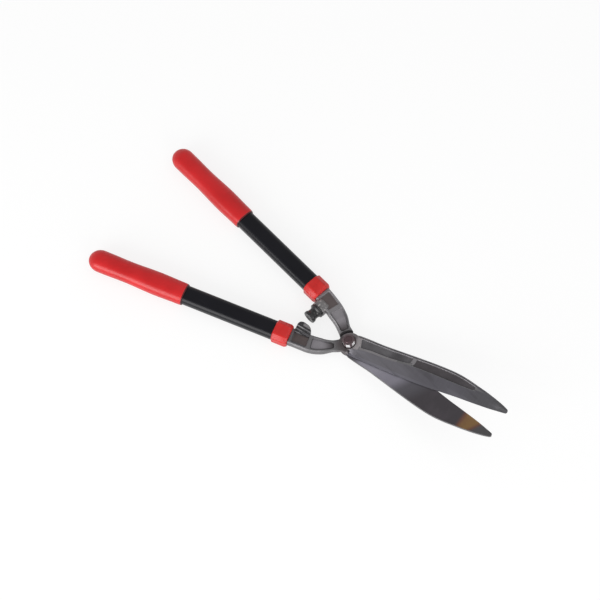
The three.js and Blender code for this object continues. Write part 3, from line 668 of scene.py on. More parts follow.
def blade_bands(places):
    """The strip between two corners of a blade's section, as a number of a steel."""
    # WALL strips are painted shade and LAND strips carry painted highlights; on the spine they make a
    # bright line, a dark groove and a bright line
    strips = [INNER] * 4 + [
        FORGED, WALL, FORGED, FORGED, WALL, SUNK, WALL, FORGED, GROUND, GROUND, EDGE, EDGE]
    turns = {6: LAND, 7: WALL, 8: LAND}

    def band(ring, i):
        corner, flat = strip_after(i)
        strip = strips[corner] if flat else turns.get(corner, strips[corner])
        here = (places[ring] + places[ring + 1]) / 2
        if corner in (8, 9, 10) and (flat or corner == 9):
            if NEAR_PANEL[0] + 0.4 < here < NEAR_PANEL[1] - 0.4:
                return ROUGH if corner == 9 else WALL
            if FAR_PANEL[0] + 0.4 < here < FAR_PANEL[1] - 0.4:
                return strips[corner]
            return LAND if NEAR_PANEL[1] - 1 < here < FAR_PANEL[0] + 1 else FORGED
        # The land under the near panel: wear with a painted highlight
        if corner == 11 and BARE_LAND[0] < here < BARE_LAND[1]:
            return LAND
        if here > FAR_PANEL[1] + 2 and strip in (LAND, FORGED, WALL) and corner != 4:
            return GROUND
        return strip
    return band


def blade(side):
    at_tip = {round(REACH - d, 3) for d in (0, 0.1, 0.3, 0.6, 1, 1.5, 2.2, TIP_ROUND)}
    places = sorted(at_tip | set(places_along(REACH, 2.0, (NEAR_PANEL, FAR_PANEL), 0.25, 3.0)))
    return skinned(
        "blade", [blade_ring(x) for x in places], blade_place(side), STEELS, blade_bands(places))


GRIND_START, GRIND_LEAN, GRIND_SINK = 2.0, 0.73, 0.3
BOSS_RADIUS, BOSS_HEIGHT, BOSS_PROUD, SWEEP_ROOM = 15.2, 5.4, 0.15, 3.6
BORE_RADIUS, SPOT_RADIUS, SPOT_DEPTH = 5.3, 9.3, 1.8


def grind():
    """Takes the boss down where the blade's ground face runs on into it."""
    rings = []
    for along, lean in ((GRIND_START, GRIND_LEAN), (BOSS_RADIUS + 4, 0)):
        edge, land = (smooth(line, along / REACH) * WIDTH for line in (edge_shares, land_shares))
        low, above, out = BEVEL_HEIGHT - GRIND_SINK, THICK + BOSS_HEIGHT, edge - BOSS_RADIUS
        section = [
            (land, THICK - GRIND_SINK), (land, above), (out, above), (out, low),
            (edge + BEVEL, low), (land - LAND_STEP, THICK - LAND_STEP - GRIND_SINK),
        ]
        rings.append([(along + lean * (land - y), y, z) for y, z in section])
    return rings


# The shank, from the pivot to the handle; its lines are pairs of a share of its length and one
# of its offset, its half width or its rim
SHANK, SHANK_WIDTH, SHANK_THICK, SHANK_ROUND = 76.4, 23.4, 12.0, 1.7
FRONT_SWAY, REAR_SWAY, REAR_RIM = 2.3, -1.7, 0.68
CRANK_START, CRANK_END = 0.14, 0.46
WEB_DEPTH, PAD_DEPTH, WEB_DRAFT, WEB_CORNER = 2.1, 1.3, 1.1, 3.2
WEB, PAD = (0.235 * SHANK, 0.61 * SHANK), (0.665 * SHANK, 0.965 * SHANK)
line_shares = [
    (0, 0), (0.15, 0.31), (0.28, 0.5), (0.435, 0.74), (0.61, 0.885), (0.785, 0.96), (1, 1)]
width_shares = [
    (0, 0.88), (0.15, 0.8), (0.28, 0.73), (0.435, 0.88), (0.61, 0.985), (0.785, 0.97), (1, 0.99)]
rim_shares = [(0, 0.6), (0.2, 0.52), (0.3, 0.42), (0.43, 0.31), (0.6, 0.27), (1, 0.27)]


def shank_line(side, share):
    sway = (FRONT_SWAY if side > 0 else REAR_SWAY) * math.sin(math.pi * share) ** 2
    return OFFSET * (1 - smooth(line_shares, share)) - sway


def shank_ring(side, along):
    share = along / SHANK
    nudge = 0.01
    slope = (shank_line(side, share + nudge) - shank_line(side, share - nudge)) / (2 * nudge * SHANK)
    forward = Vector((1, slope)).normalized()
    across = Vector((forward.y, -forward.x))
    centre = Vector((along, shank_line(side, share)))
    half = smooth(width_shares, share) * SHANK_WIDTH / 2
    climb = ramp((share - CRANK_START) / (CRANK_END - CRANK_START))
    top_level = BOSS_HEIGHT - BOSS_PROUD
    foot_level = SLACK / 2 + RELIEF if side > 0 else -top_level

    def level(offset, height):
        place = centre + across * offset
        x = -math.cos(SPREAD) * place.x + math.sin(SPREAD) * (OFFSET - place.y)
        return (height - DROP + math.sin(CRANK) * x) / math.cos(CRANK)

    def top(offset):
        return (1 - climb) * level(offset, top_level) + climb * SHANK_THICK / 2

    def foot(offset):
        return (1 - climb) * level(offset, foot_level) - climb * SHANK_THICK / 2

    sinks = []
    for (start, end), full in ((WEB, WEB_DEPTH), (PAD, PAD_DEPTH)):
        sinks.append((full * depth_share(along, start, end, 1.5), min(along - start, end - along)))
    depth, inset = max(sinks)
    drawn = min(pinch(inset, WEB_CORNER), 0.3 * half) if depth > 0 else 0
    edge = min(SHANK_ROUND, (top(0) - foot(0)) / 4)
    rim = half * (1 - smooth(rim_shares, share) * (1 if side > 0 else REAR_RIM)) - drawn
    floor = rim - min(WEB_DRAFT, rim / 2)
    under = depth * climb
    ring = [
        (-half, foot, edge), (-half + edge, foot, 0), (-rim, foot, 0), (-floor, foot, under),
        (floor, foot, under), (rim, foot, 0), (half - edge, foot, 0), (half, foot, edge),
        (half, top, -edge), (half - edge, top, 0), (rim, top, 0), (floor, top, -depth),
        (-floor, top, -depth), (-rim, top, 0), (-half + edge, top, 0), (-half, top, -edge),
    ]
    radii = [1.2, 1.2, 0.5, 0.8, 0.8, 0.5, 1.2, 1.2] * 2
    made = []
    for point in eased([Vector((offset, face(offset) + rise)) for offset, face, rise in ring], radii):
        place = centre + across * point.x
        made.append((place.x, place.y, point.y))
    return made


def shank(side):
    places = places_along(SHANK, 1.2, (WEB, PAD), 0.3, 3.3)
    rings = [shank_ring(side, along) for along in places]

    def band(ring, i):
        (corner, flat), here = strip_after(i), (places[ring] + places[ring + 1]) / 2
        for (start, end), floor in ((WEB, WEBBED), (PAD, PADDED)):
            if start < here < end and corner in (2, 3, 4, 10, 11, 12):
                inner = corner in (3, 11) and flat and start + 1.2 < here < end - 1.2
                return floor if inner else DRAFTED
        return FORGED
    return skinned("shank", rings, handle_place(side), STEELS, band)


def rounded_section(width, height, corner, steps=10):
    half_x, half_y = width / 2 - corner, height / 2 - corner
    made = []
    for quarter, (x, y) in enumerate(((1, 1), (-1, 1), (-1, -1), (1, -1))):
        for k in range(steps + 1):
            turn = (quarter + k / steps) * math.pi / 2
            made.append((x * half_x + corner * math.cos(turn), y * half_y + corner * math.sin(turn)))
    return made


def rounded_box(name, size, place, soft=0.8):
    shape = bmesh.new()
    bmesh.ops.create_cube(shape, size=1)
    bmesh.ops.scale(shape, vec=size, verts=shape.verts)
    bmesh.ops.bevel(shape, geom=shape.edges, offset=soft, segments=2, affect="EDGES", profile=0.5)
    bmesh.ops.transform(shape, matrix=place, verts=shape.verts)
    bmesh.ops.recalc_face_normals(shape, faces=shape.faces)
    made = new_piece(name, [], [], STEELS)
    shape.to_mesh(made.data)
    shape.free()
    return made


# The halves' shares of the closing stop: the rear half has the spool's seat, and the front one
# the lug, whose face lies flat on the spool when the blades close
SEAT_HEIGHT, SEAT_LENGTH, SEAT_THICK, SEAT_CORNER = 19.0, 19.6, 16.4, 4.5
SEAT_ROOT, SEAT_EDGE, STUD_HOLE, STUD_DEPTH = 6.0, 0.8, 3.3, 13.0
BUMPER_LENGTH = 17.4
BUMPER_FOOT = SEAT_HEIGHT + SLACK
BUMPER_FACE = BUMPER_FOOT + BUMPER_LENGTH
CLOSING = math.radians(8.8)
LUG_LENGTH, LUG_THICK, LUG_BEVEL = 21.4, 16.0, 2.2
LUG_CORNER, LUG_HEEL, LUG_CROWN, LUG_LEAD, LUG_ROOT = 7.5, 8.5, 1.2, 1.1, 6.0

# Stands on the handle's axis at the stop and points to the other handle
across_handle = Matrix.Translation((STOP, 0, 0)) @ Matrix((
    (0, 1, 0), (0, 0, 1), (1, 0, 0))).to_4x4()


def bent(start, corner, end, steps=10):
    """Points of a curve that leaves for a corner and turns before it."""
    a, b, c = Vector(start), Vector(corner), Vector(end)
    shares = [k / steps for k in range(steps + 1)]
    return [a * (1 - t) ** 2 + b * 2 * t * (1 - t) + c * t * t for t in shares]


def lug_outline():
    meet = 2 * SPREAD - CLOSING
    reach = BUMPER_FACE - OFFSET + SLACK

    def face(along):
        return OFFSET + (along * math.sin(meet) - reach) / math.cos(meet)

    start = STOP - LUG_LEAD - LUG_LENGTH / 2
    end = start + LUG_LENGTH
    low, high = face(start) - LUG_CROWN, face(end) - LUG_CROWN
    corner, heel = start + LUG_CORNER, end - LUG_HEEL
    return [
        Vector((start, LUG_ROOT)),
        *bent((start, low - LUG_CORNER), (start, low), (corner, face(corner))),
        *bent((heel, face(heel)), (end, high), (end, high - LUG_HEEL)),
        Vector((end, LUG_ROOT)),
    ]


def inset_outline(outline, depth):
    made = []
    for i, point in enumerate(outline):
        back, ahead = point - outline[i - 1], outline[(i + 1) % len(outline)] - point
        ways = [Vector((v.y, -v.x)).normalized() for v in (back, ahead)]
        inward = sum(ways, Vector((0, 0))).normalized()
        made.append(point + inward * depth)
    return made


def lug(place):
    outline = lug_outline()
    rings = []
    for lean in quarter_turn(6, -6):
        draw = LUG_BEVEL * (1 - math.cos(lean))
        flank = math.copysign(LUG_THICK / 2 - LUG_BEVEL, lean) if lean else 0
        height = flank + LUG_BEVEL * math.sin(lean)
        rings.append([(p.x, p.y, height) for p in inset_outline(outline, draw)])
    return skinned("lug", rings, place, STEELS, LUGGED, LUGGED)


class Growth(Nodes):
    """Geometry nodes that grow a shape from named sizes."""

    def __init__(self, name, sizes):
        super().__init__(bpy.data.node_groups.new(name, "GeometryNodeTree"))
        self.sizes = sizes
        self.sockets = {}
        face = self.tree.interface
        for label, value in sizes.items():
            kind = "NodeSocketInt" if isinstance(value, int) else "NodeSocketFloat"
            made = face.new_socket(label, in_out="INPUT", socket_type=kind)
            self.sockets[label] = made.identifier
        face.new_socket("Geometry", in_out="OUTPUT", socket_type="NodeSocketGeometry")
        self.given = self.tree.nodes.new("NodeGroupInput")

    def size(self, label):
        return Reading(self, self.given.outputs[label])

    def joined(self, *shapes):
        join = self.tree.nodes.new("GeometryNodeJoinGeometry")
        for shape in shapes:
            self.plug(shape, join.inputs[0])
        return Reading(self, join.outputs[0])

    def close(self, shape, material):
        """Gives out the shape as plain faces in one material."""
        real = self.node("GeometryNodeRealizeInstances", {0: shape})
        ends = {"Geometry": real, "Material": material}
        result = self.tree.nodes.new("NodeGroupOutput")
        self.plug(self.node("GeometryNodeSetMaterial", ends), result.inputs[0])

    def grown(self, name, place, materials):
        """The plain piece that the nodes make, moved to its place."""
        piece = new_piece(name, [(0, 0, 0)], [], materials)
        make = piece.modifiers.new("grown", "NODES")
        make.node_group = self.tree
        for label, value in self.sizes.items():
            make[self.sockets[label]] = value
        mesh = plain_mesh(piece)
        mesh.transform(place)
        piece.modifiers.clear()
        piece.data = mesh
        tidy_skin(piece)
        return piece


def flute_growth():
    """A row of rods, which cut the flutes on one face of the lug."""
    row = Growth("flute_rods", {
        "Rods": 3, "Pitch": FLUTE_PITCH, "Rod radius": FLUTE_RADIUS, "Rod length": 34.0})
    apart = row.node("CombineXYZ", {"Y": row.size("Pitch")})
    places = row.node("GeometryNodeMeshLine", {"Count": row.size("Rods"), "Offset": apart})
    rod = row.node("GeometryNodeMeshCylinder", {
        "Vertices": 24, "Radius": row.size("Rod radius"), "Depth": row.size("Rod length"),
    }, out="Mesh")
    lying = row.node("FunctionNodeEulerToRotation", {0: (0, math.pi / 2, 0)})
    rods = row.node("GeometryNodeInstanceOnPoints", {
        "Points": places, "Instance": rod, "Rotation": lying})
    # The flutes take the dark walls' material: painted shade in the grooves
    row.close(rods, STEELS[WALL])
    return row


flute_row = flute_growth()


def flute_rods(place, height):
    stand = Matrix.Translation((STOP, FLUTE_START, height)) @ Matrix.Rotation(FLUTE_TURN, 4, "Z")
    return flute_row.grown("rods", place @ stand, STEELS)


def soft_disc(radius, low, high, soft_low, soft_high):
    """A profile for a disc with rounded rims."""
    profile = [(0.01, low)]
    for t in quarter_turn(4):
        profile.append((radius - soft_low * (1 - math.sin(t)), low + soft_low * (1 - math.cos(t))))
    for t in quarter_turn(4):
        profile.append((radius - soft_high * (1 - math.cos(t)), high - soft_high * (1 - math.sin(t))))
    return profile + [(0.01, high)]


def plain_rod(name, radius, low, high, place, sides=64):
    profile = [(0.01, low), (radius, low), (radius, high), (0.01, high)]
    return turned(name, profile, place, STEELS, sides)


def bumper_seat(stand):
    """A block that swells out of the shank's inner edge, up to the spool's foot."""
    root, full = SHANK_THICK - 2 * PAD_DEPTH - 2 * RELIEF, SHANK_WIDTH / 2
    stations = []
    for t in (k / 6 for k in range(7)):
        stations.append((SEAT_ROOT + (full - SEAT_ROOT) * t, (SEAT_THICK - root) * (1 - t) ** 1.5))
    for turn in quarter_turn(4):
        stations.append((
            SEAT_HEIGHT - SEAT_EDGE * (1 - math.sin(turn)), SEAT_EDGE * (1 - math.cos(turn))))
    rings = []
    for height, inset in stations:
        thick, length = SEAT_THICK - inset, SEAT_LENGTH - min(inset, SEAT_EDGE)
        section = rounded_section(thick, length, min(SEAT_CORNER, thick / 2.2))
        rings.append([(x, y, height) for x, y in section])
    return skinned("seat", rings, stand, STEELS, SEATED, SEATED)


TANG, TANG_MIDDLE = (78, 15, 8), 35.0
NECK_HOLE, OVER = (10.6, 10.6, 24), 4.0


def half_forging(word, side):
    """One half, with what the other half and the pivot need cut out; cutters stand over by OVER."""
    handle, on_blade = handle_place(side), blade_place(side)
    other = blade_frame if side > 0 else blade_frame @ Matrix.Rotation(math.pi, 4, "X")
    boss = turned(
        "boss", soft_disc(BOSS_RADIUS, SLACK / 2, BOSS_HEIGHT, 0.2, 0.7), on_blade, STEELS, 120)
    ground_off = skinned("ground_off", grind(), on_blade, STEELS, GROUND)
    worked(boss, "DIFFERENCE", ground_off)
    sweep = plain_rod(
        "sweep", BOSS_RADIUS + SWEEP_ROOM, -2 * SHANK_THICK, SLACK / 2 + RELIEF, other, 120)
    tang = rounded_box("tang", TANG, handle @ Matrix.Translation((SHANK + TANG_MIDDLE, 0, 0)))
    piece = worked(shank(side), "DIFFERENCE", sweep)
    worked(piece, "UNION", boss, blade(side), tang)
    if side > 0:
        face, above = BOSS_HEIGHT - SPOT_DEPTH, BOSS_HEIGHT + OVER
        stop = worked(
            lug(handle), "DIFFERENCE",
            flute_rods(handle, LUG_THICK / 2), flute_rods(handle, -LUG_THICK / 2))
        holes = [
            plain_rod("bore", BORE_RADIUS, -OVER, above, on_blade),
            plain_rod("spot", SPOT_RADIUS, face, above, on_blade),
        ]
    else:
        stand = handle @ across_handle
        depth, above = SEAT_HEIGHT - STUD_DEPTH, SEAT_HEIGHT + OVER
        stop = bumper_seat(stand)
        holes = [
            plain_rod("stud_hole", STUD_HOLE, depth, above, stand),
            rounded_box("square_hole", NECK_HOLE, on_blade, 0.3),
        ]
    worked(piece, "UNION", stop)
    worked(piece, "DIFFERENCE", *holes)
    piece.name = piece.data.name = f"{word}_forging"
    tidy_skin(piece, 2e-6)
    shaded(piece)
    stands_for(piece, f"{word}_blade", f"{word}_half")


for word, side in SIDES.items():
    half_forging(word, side)

# The pivot: a square-necked bolt goes up through both bosses from behind. A flat washer and a
# conical spring washer lie in a spot face on the front boss, under a hexagon nut whose sides
# carry painted glints and whose top is browned, with the bolt's end just proud of it.
WASHER_RADIUS, SPRING_RADIUS, WASHER_THICK, SPRING_RISE = 8.9, 8.2, 0.7, 0.4
WASHER_SEAT = BOSS_HEIGHT - SPOT_DEPTH + SLACK
SPRING_SEAT = WASHER_SEAT + WASHER_THICK + SLACK
NUT_SEAT = SPRING_SEAT + WASHER_THICK + SPRING_RISE + SLACK
NUT_HEIGHT, NUT_FLATS, NUT_CHAMFER, NUT_TURN = 7.0, 16.0, 1.5, math.radians(28)
NUT_TOP = NUT_SEAT + NUT_HEIGHT
BOLT_RADIUS, BOLT_PROUD, NECK = 5.0, 0.5, (10, 10, 6)
HEAD_RADIUS, HEAD_HEIGHT, HEAD_DOME = 9.5, 3.1, 2.5
THREAD_START, THREAD_PITCH, THREAD_DEPTH = 12.0, 1.4, 0.45


def plated_finish(name, bright, dull, roughness):
    finish = Finish(name, Metallic=0.9)
    here = finish.place()
    clouds = finish.noise(here, 160, 3)
    fine = finish.noise(here, 2600, 2)
    colour = finish.mixed(clouds.between(0.35, 0.7), bright, dull)
    return finish.wear(
        Base_Color=colour, Roughness=roughness + 0.12 * fine, Normal=finish.bump(fine, 0.00002, 0.4))


def nut_finish():
    """Painted glints: near-white middles to the sides; the corners, the top and the chamfer are browned.
    """
    finish = Finish("nut_steel", Metallic=0.3)
    clouds = finish.noise(finish.place(), 220, 3)
    about = from_pivot(finish)
    low, high = (NUT_TOP - 0.65) * MM, (NUT_TOP - 0.35) * MM
    lift = finish.axis(about, "Z").between(low, high)
    turn = finish.maths("ARCTAN2", finish.axis(about, "Y"), finish.axis(about, "X"))
    corners = finish.maths("COSINE", 6 * turn - 6 * NUT_TURN)
    # bright: near-white painted glints on the middles of the nut's sides
    bright = finish.mixed(clouds, srgb(253, 253, 253), srgb(248, 248, 250))
    brown = finish.mixed(clouds, srgb(100, 82, 86), srgb(86, 72, 75))
    shade = finish.maths("MAXIMUM", lift, corners.between(0.1, 0.6))
    return finish.wear(
        Base_Color=finish.mixed(shade, bright, brown), Roughness=0.25 + 0.2 * clouds)


zinc = plated_finish("zinc_plate", srgb(196, 197, 200), srgb(168, 168, 172), 0.28)
browned = plated_finish("browned_steel", srgb(100, 82, 86), srgb(86, 72, 75), 0.35)
washer_steel = plated_finish("dulled_washers", srgb(104, 96, 98), srgb(84, 78, 80), 0.4)
nut_steel = nut_finish()


def hexagon_nut():
    corner = NUT_FLATS / math.sqrt(3)
    lean = NUT_CHAMFER * math.tan(math.radians(30))
    place = blade_frame @ Matrix.Rotation(NUT_TURN, 4, "Z")
    hexagon = plain_rod("pivot_nut", corner, NUT_SEAT, NUT_TOP, place, 6)
    cone = turned("cone", [
        (0.01, NUT_SEAT), (corner - NUT_CHAMFER, NUT_SEAT), (corner, NUT_SEAT + lean),
        (corner, NUT_TOP - lean), (corner - NUT_CHAMFER, NUT_TOP), (0.01, NUT_TOP),
    ], place, STEELS, 120)
    bore = plain_rod("bore", BORE_RADIUS, NUT_SEAT - 2, NUT_TOP + 2, place)
    worked(hexagon, "INTERSECT", cone)
    worked(hexagon, "DIFFERENCE", bore)
    soften = hexagon.modifiers.new("soft edges", "BEVEL")
    soften.width = 0.12 * MM
    soften.segments = 2
    soften.angle_limit = math.radians(40)
    return hexagon


def ring_of(name, profile, place, materials, sides):
    """A closed profile of radius and height pairs, turned into a ring."""
    count = len(profile)
    points, faces = [], []
    for k in range(sides):
        turn = 2 * math.pi * k / sides
        points += [place @ Vector((r * math.cos(turn), r * math.sin(turn), h)) for r, h in profile]
    for k in range(sides):
        for i in range(count):
            a, b = k * count + i, k * count + (i + 1) % count
            c = ((k + 1) % sides) * count
            faces.append((a, b, c + (i + 1) % count, c + i))
    piece = new_piece(name, points, faces, materials)
    tidy_skin(piece)
    return piece


def ring_washer(name, radius, seat, rise):
    """A washer whose bore stands higher than its rim, by its rise."""
    soft, top = 0.15, seat + WASHER_THICK
    profile = [
        (BORE_RADIUS, seat + rise), (radius - soft, seat), (radius, seat + soft),
        (radius, top - soft), (radius - soft, top),
        (BORE_RADIUS + 0.1, top + rise), (BORE_RADIUS, top + rise - 0.1),
    ]
    return ring_of(name, profile, blade_frame, STEELS, 96)


def pivot_bolt():
    under, end, soft = -BOSS_HEIGHT - SLACK, NUT_TOP + BOLT_PROUD, 0.5
    crown = under - HEAD_HEIGHT
    profile = [(0.01, crown)]
    for turn in quarter_turn(10, 1):
        radius = HEAD_RADIUS * (0.3 + 0.7 * math.sin(turn))
        profile.append((radius, crown + HEAD_DOME * (1 - math.cos(turn))))
    profile += [(HEAD_RADIUS, under - 0.15), (HEAD_RADIUS - 0.15, under), (BOLT_RADIUS, under)]
    crest = under + THREAD_START
    while crest < end - 1:
        root = crest + THREAD_PITCH / 2
        profile += [(BOLT_RADIUS, crest), (BOLT_RADIUS - THREAD_DEPTH, root)]
        crest += THREAD_PITCH
    profile += [(BOLT_RADIUS, end - soft), (BOLT_RADIUS - soft, end), (0.01, end)]
    shaft = turned("pivot_bolt", profile, blade_frame, STEELS, 72)
    neck = rounded_box("neck", NECK, blade_frame @ Matrix.Translation((0, 0, under + 1.3)), 0.4)
    return worked(shaft, "UNION", neck)


def on_pivot(made, node, material):
    made.name = f"{node}_made"
    shaded(made)
    made.data.materials.clear()
    made.data.materials.append(material)
    stands_for(made, node, "rear_half")


on_pivot(hexagon_nut(), "pivot_nut", nut_steel)
flat_washer = ring_washer("pivot_washer", WASHER_RADIUS, WASHER_SEAT, 0)
on_pivot(flat_washer, "pivot_washer", washer_steel)
cupped_washer = ring_washer("spring_washer", SPRING_RADIUS, SPRING_SEAT, SPRING_RISE)
on_pivot(cupped_washer, "spring_washer", washer_steel)
on_pivot(pivot_bolt(), "pivot_bolt", browned)

# The closing stop: a spool of moulded black rubber is pressed over the head of a steel stud in
# the rear shank's seat, and the front shank's fluted lug lands flat on it.
def rubber_finish():
    finish = Finish("black_rubber", Metallic=0, Specular_IOR_Level=0.7)
    here = finish.place()
    fine = finish.noise(here, 1800, 3)
    dust = finish.noise(here, 130, 4)
    colour = finish.mixed(dust.between(0.45, 0.8), srgb(14, 14, 17), srgb(30, 30, 34))
    return finish.wear(
        Base_Color=colour, Roughness=0.2 + 0.2 * fine, Normal=finish.bump(fine, 0.00003, 0.6))


def bumper_profile():
    foot, face = BUMPER_FOOT, BUMPER_FACE
    rim, neck, head = 10.5, 7.5, 9.1
    profile = [(STUD_HOLE, foot)]
    for low, high in ((foot, foot + 1.8), (foot + 2.1, foot + 3.9)):
        profile += [(rim - 0.7, low), (rim - 0.15, low + 0.3), (rim, low + 0.9),
                    (rim - 0.15, high - 0.3), (rim - 0.7, high)]
    waist_start, waist_end = foot + 4.1, face - 4.5
    for k in range(17):
        t = k / 16
        full = (rim - 0.9) * (1 - t) + (head - 0.4) * t
        profile.append((
            full - (full - neck) * math.sin(math.pi * t) ** 0.6,
            waist_start + (waist_end - waist_start) * t))
    profile += [(head - 0.1, face - 4.1), (head, face - 3.6), (head, face - 2.5),
                (head - 0.35, face - 2.2), (head, face - 1.9), (head, face - 0.9),
                (head - 0.3, face - 0.25), (head - 0.9, face)]
    profile += [(4, face), (3.6, face - 0.4), (0.01, face - 0.4)]
    stud_head, cavity = 5.3, foot + BUMPER_LENGTH * 0.66
    profile += [(0.01, cavity + 0.3), (stud_head, cavity + 0.3)]
    profile += [(stud_head, cavity - 2.7), (STUD_HOLE, cavity - 2.7)]
    return profile


def bumper():
    stand = handle_place(-1) @ across_handle
    piece = ring_of("rubber_bumper_made", bumper_profile(), stand, [rubber_finish()], 80)
    return shaded(piece, 50)


stands_for(bumper(), "rubber_bumper", "rear_half")


def refinished(node, material):
    """Gives a CAD piece whose shape is right its finish."""
    for spot in frame["nodes"][node].material_slots:
        spot.link = "OBJECT"
        spot.material = material


refinished("bumper_stud", zinc)

# The handles: oval steel tubes in black powder coat, slid over a nylon sleeve on each tang and
# held by a steel cross pin. Each tube's open end is closed by a nylon plug inside the grip.
TUBE_WIDTH, TUBE_THICK, TUBE_CORNER, TUBE_WALL = 26.5, 19.0, 8.0, 1.5
COLLAR_WALL = 3.0
TUBE_START, TUBE_LENGTH = SHANK + COLLAR_WALL + SLACK, 279.0


def powder_finish():
    finish = Finish("black_powder_coat", Metallic=0, Specular_IOR_Level=0.3)
    here = finish.place()
    peel = finish.noise(here, 700, 2)
    cloud = finish.noise(here, 35, 3)
    scuff = finish.noise(finish.stretched(here, (30, 240, 30)), 1.0, 4)
    colour = finish.mixed(cloud, srgb(8, 8, 15), srgb(14, 14, 22))
    colour = finish.mixed(scuff.between(0.66, 0.8) * 0.25, colour, srgb(56, 56, 64))
    return finish.wear(
        Base_Color=colour, Roughness=0.26 + 0.1 * cloud + 0.1 * scuff.between(0.6, 0.8),
        Normal=finish.bump(peel, 0.00006, 0.5))


def nylon_finish():
    finish = Finish("grey_nylon", Metallic=0)
    fine = finish.noise(finish.place(), 500, 3)
    colour = finish.mixed(fine, srgb(132, 133, 136), srgb(146, 147, 150))
    return finish.wear(Base_Color=colour, Roughness=0.5 + 0.2 * fine)


powder, nylon = powder_finish(), nylon_finish()


def tube_growth():
    """Draws a rounded section out along a straight way, as a tube with a wall."""
    oval = Growth("oval_tube", {
        "Width": TUBE_WIDTH, "Thickness": TUBE_THICK, "Corner": TUBE_CORNER,
        "Wall": TUBE_WALL, "Length": TUBE_LENGTH,
    })
    width, thick, corner, wall, length = (oval.size(label) for label in oval.sizes)

    def section(inset):
        outline = oval.node("GeometryNodeCurvePrimitiveQuadrilateral", {
            "Width": width - 2 * inset, "Height": thick - 2 * inset})
        ends = {"Curve": outline, "Count": 10, "Radius": corner - inset}
        return oval.node("GeometryNodeFilletCurve", ends, {"mode": "POLY"})

    both = oval.joined(section(0), section(wall))
    wall_face = oval.node("GeometryNodeFillCurve", {"Curve": both})
    way = oval.node("CombineXYZ", {"Z": length})
    drawn = oval.node("GeometryNodeExtrudeMesh", {
        "Individual": False, "Mesh": wall_face, "Offset": way}, out="Mesh")
    back = oval.node("GeometryNodeFlipFaces", {0: wall_face})
    closed = oval.node("GeometryNodeMergeByDistance", {
        0: oval.joined(back, drawn), "Distance": 0.001})
    oval.close(closed, powder)
    return oval


# A section drawn across the handle's axis is drawn out along it
along_handle = Matrix(((0, 0, 1), (1, 0, 0), (0, 1, 0))).to_4x4()
oval_tube = tube_growth()


def tube(word, side):
    place = handle_place(side) @ Matrix.Translation((TUBE_START, 0, 0)) @ along_handle
    made = shaded(oval_tube.grown(f"{word}_tube_made", place, [powder]), 40)
    stands_for(made, f"{word}_tube", f"{word}_half")


for word, side in SIDES.items():
    tube(word, side)
    refinished(f"{word}_tang_sleeve", nylon)
    refinished(f"{word}_tang_pin", zinc)
    refinished(f"{word}_end_plug", nylon)

# The collars: moulded red plastic ferrules with soft chamfered ends, pushed over the tube's
# mouth so that they hide the sleeve and the cross pin.
COLLAR_LENGTH, COLLAR_WIDTH, COLLAR_THICK = 22.4, 29.8, 24.0
COLLAR_START = SHANK + SLACK
COLLAR_END = COLLAR_START + COLLAR_LENGTH


def collar_finish():
    finish = Finish("red_plastic", Metallic=0, Specular_IOR_Level=0.5)
    here = finish.place()
    cloud = finish.noise(here, 60, 3)
    spark = finish.noise(here, 1300, 2)
    colour = finish.mixed(cloud.between(0.3, 0.7), srgb(198, 26, 24), srgb(210, 36, 32))
    return finish.wear(
        Base_Color=colour, Roughness=0.3 + 0.14 * spark, Normal=finish.bump(spark, 0.00003, 0.5))


def collar_section(inset):
    """A rectangle whose corners are cut off by broad flanks."""
    x, y = COLLAR_WIDTH / 2 - inset, COLLAR_THICK / 2 - inset
    cut_x, cut_y = 0.43 * x, 0.46 * y
    corners = [(x, cut_y - y), (x, y - cut_y), (x - cut_x, y), (cut_x - x, y)]
    ring = [Vector(corner) for corner in corners]
    return eased(ring + [-corner for corner in ring], [1.6] * 8, 5)


tang_hole = rounded_section(TANG[1] + 0.6, TANG[2] + 0.6, 1.8)
tube_hole = rounded_section(TUBE_WIDTH + 0.6, TUBE_THICK + 0.6, TUBE_CORNER + 0.3)


def hole_plug(section, start, end, place, materials):
    """What a hole along the handle takes out."""
    rings = [[(along, x, y) for x, y in section] for along in (start, end)]
    return skinned("hole_plug", rings, place, materials)


def collar(word, side):
    place, plastic = handle_place(side), [red_plastic]
    front = [(0, 1.9), (0.3, 1.4), (2.8, 0.12), (3.3, 0)]
    back = [(1.5, 0), (1.1, 0.12), (0.3, 0.95), (0, 1.35)]
    stations = [(COLLAR_START + at, inset) for at, inset in front]
    stations += [(COLLAR_END - at, inset) for at, inset in back]
    rings = []
    for along, inset in stations:
        rings.append([(along, point.x, point.y) for point in collar_section(inset)])
    for_tang = hole_plug(tang_hole, COLLAR_START - OVER, COLLAR_END, place, plastic)
    for_tube = hole_plug(tube_hole, TUBE_START - SLACK, COLLAR_END + OVER, place, plastic)
    shell = skinned(f"{word}_collar_made", rings, place, plastic)
    worked(shell, "DIFFERENCE", for_tang, for_tube)
    shaded(shell, 24)
    stands_for(shell, f"{word}_collar", f"{word}_half")


red_plastic = collar_finish()
for word, side in SIDES.items():
    collar(word, side)

# The grips: soft red vinyl sleeves, swelling in the palm and closed by a round end. They are
# pushed over the tube and its end plug, with a plain rolled lip at the mouth, whose faces carry
# painted shade in a dark red.
GRIP_WIDTH, GRIP_THICK, GRIP_LENGTH = 31.8, 25.6, 143.5
PLUG_FLANGE, END_WALL, MOUTH = 2.5, 12.0, 1.3
GRIP_END = TUBE_START + TUBE_LENGTH + SLACK + PLUG_FLANGE + SLACK + END_WALL
GRIP_START = GRIP_END - GRIP_LENGTH
ROUND_SHARE, LIP_SHARE, LIP_END, LIP_ROUND, SQUARENESS = 0.115, 0.006, 0.0105, 0.9, 0.8
swell_shares = [
    (0, 0.925), (0.03, 0.955), (0.1, 0.965), (0.3, 1), (0.58, 0.925), (0.8, 0.955), (1, 0.955)]


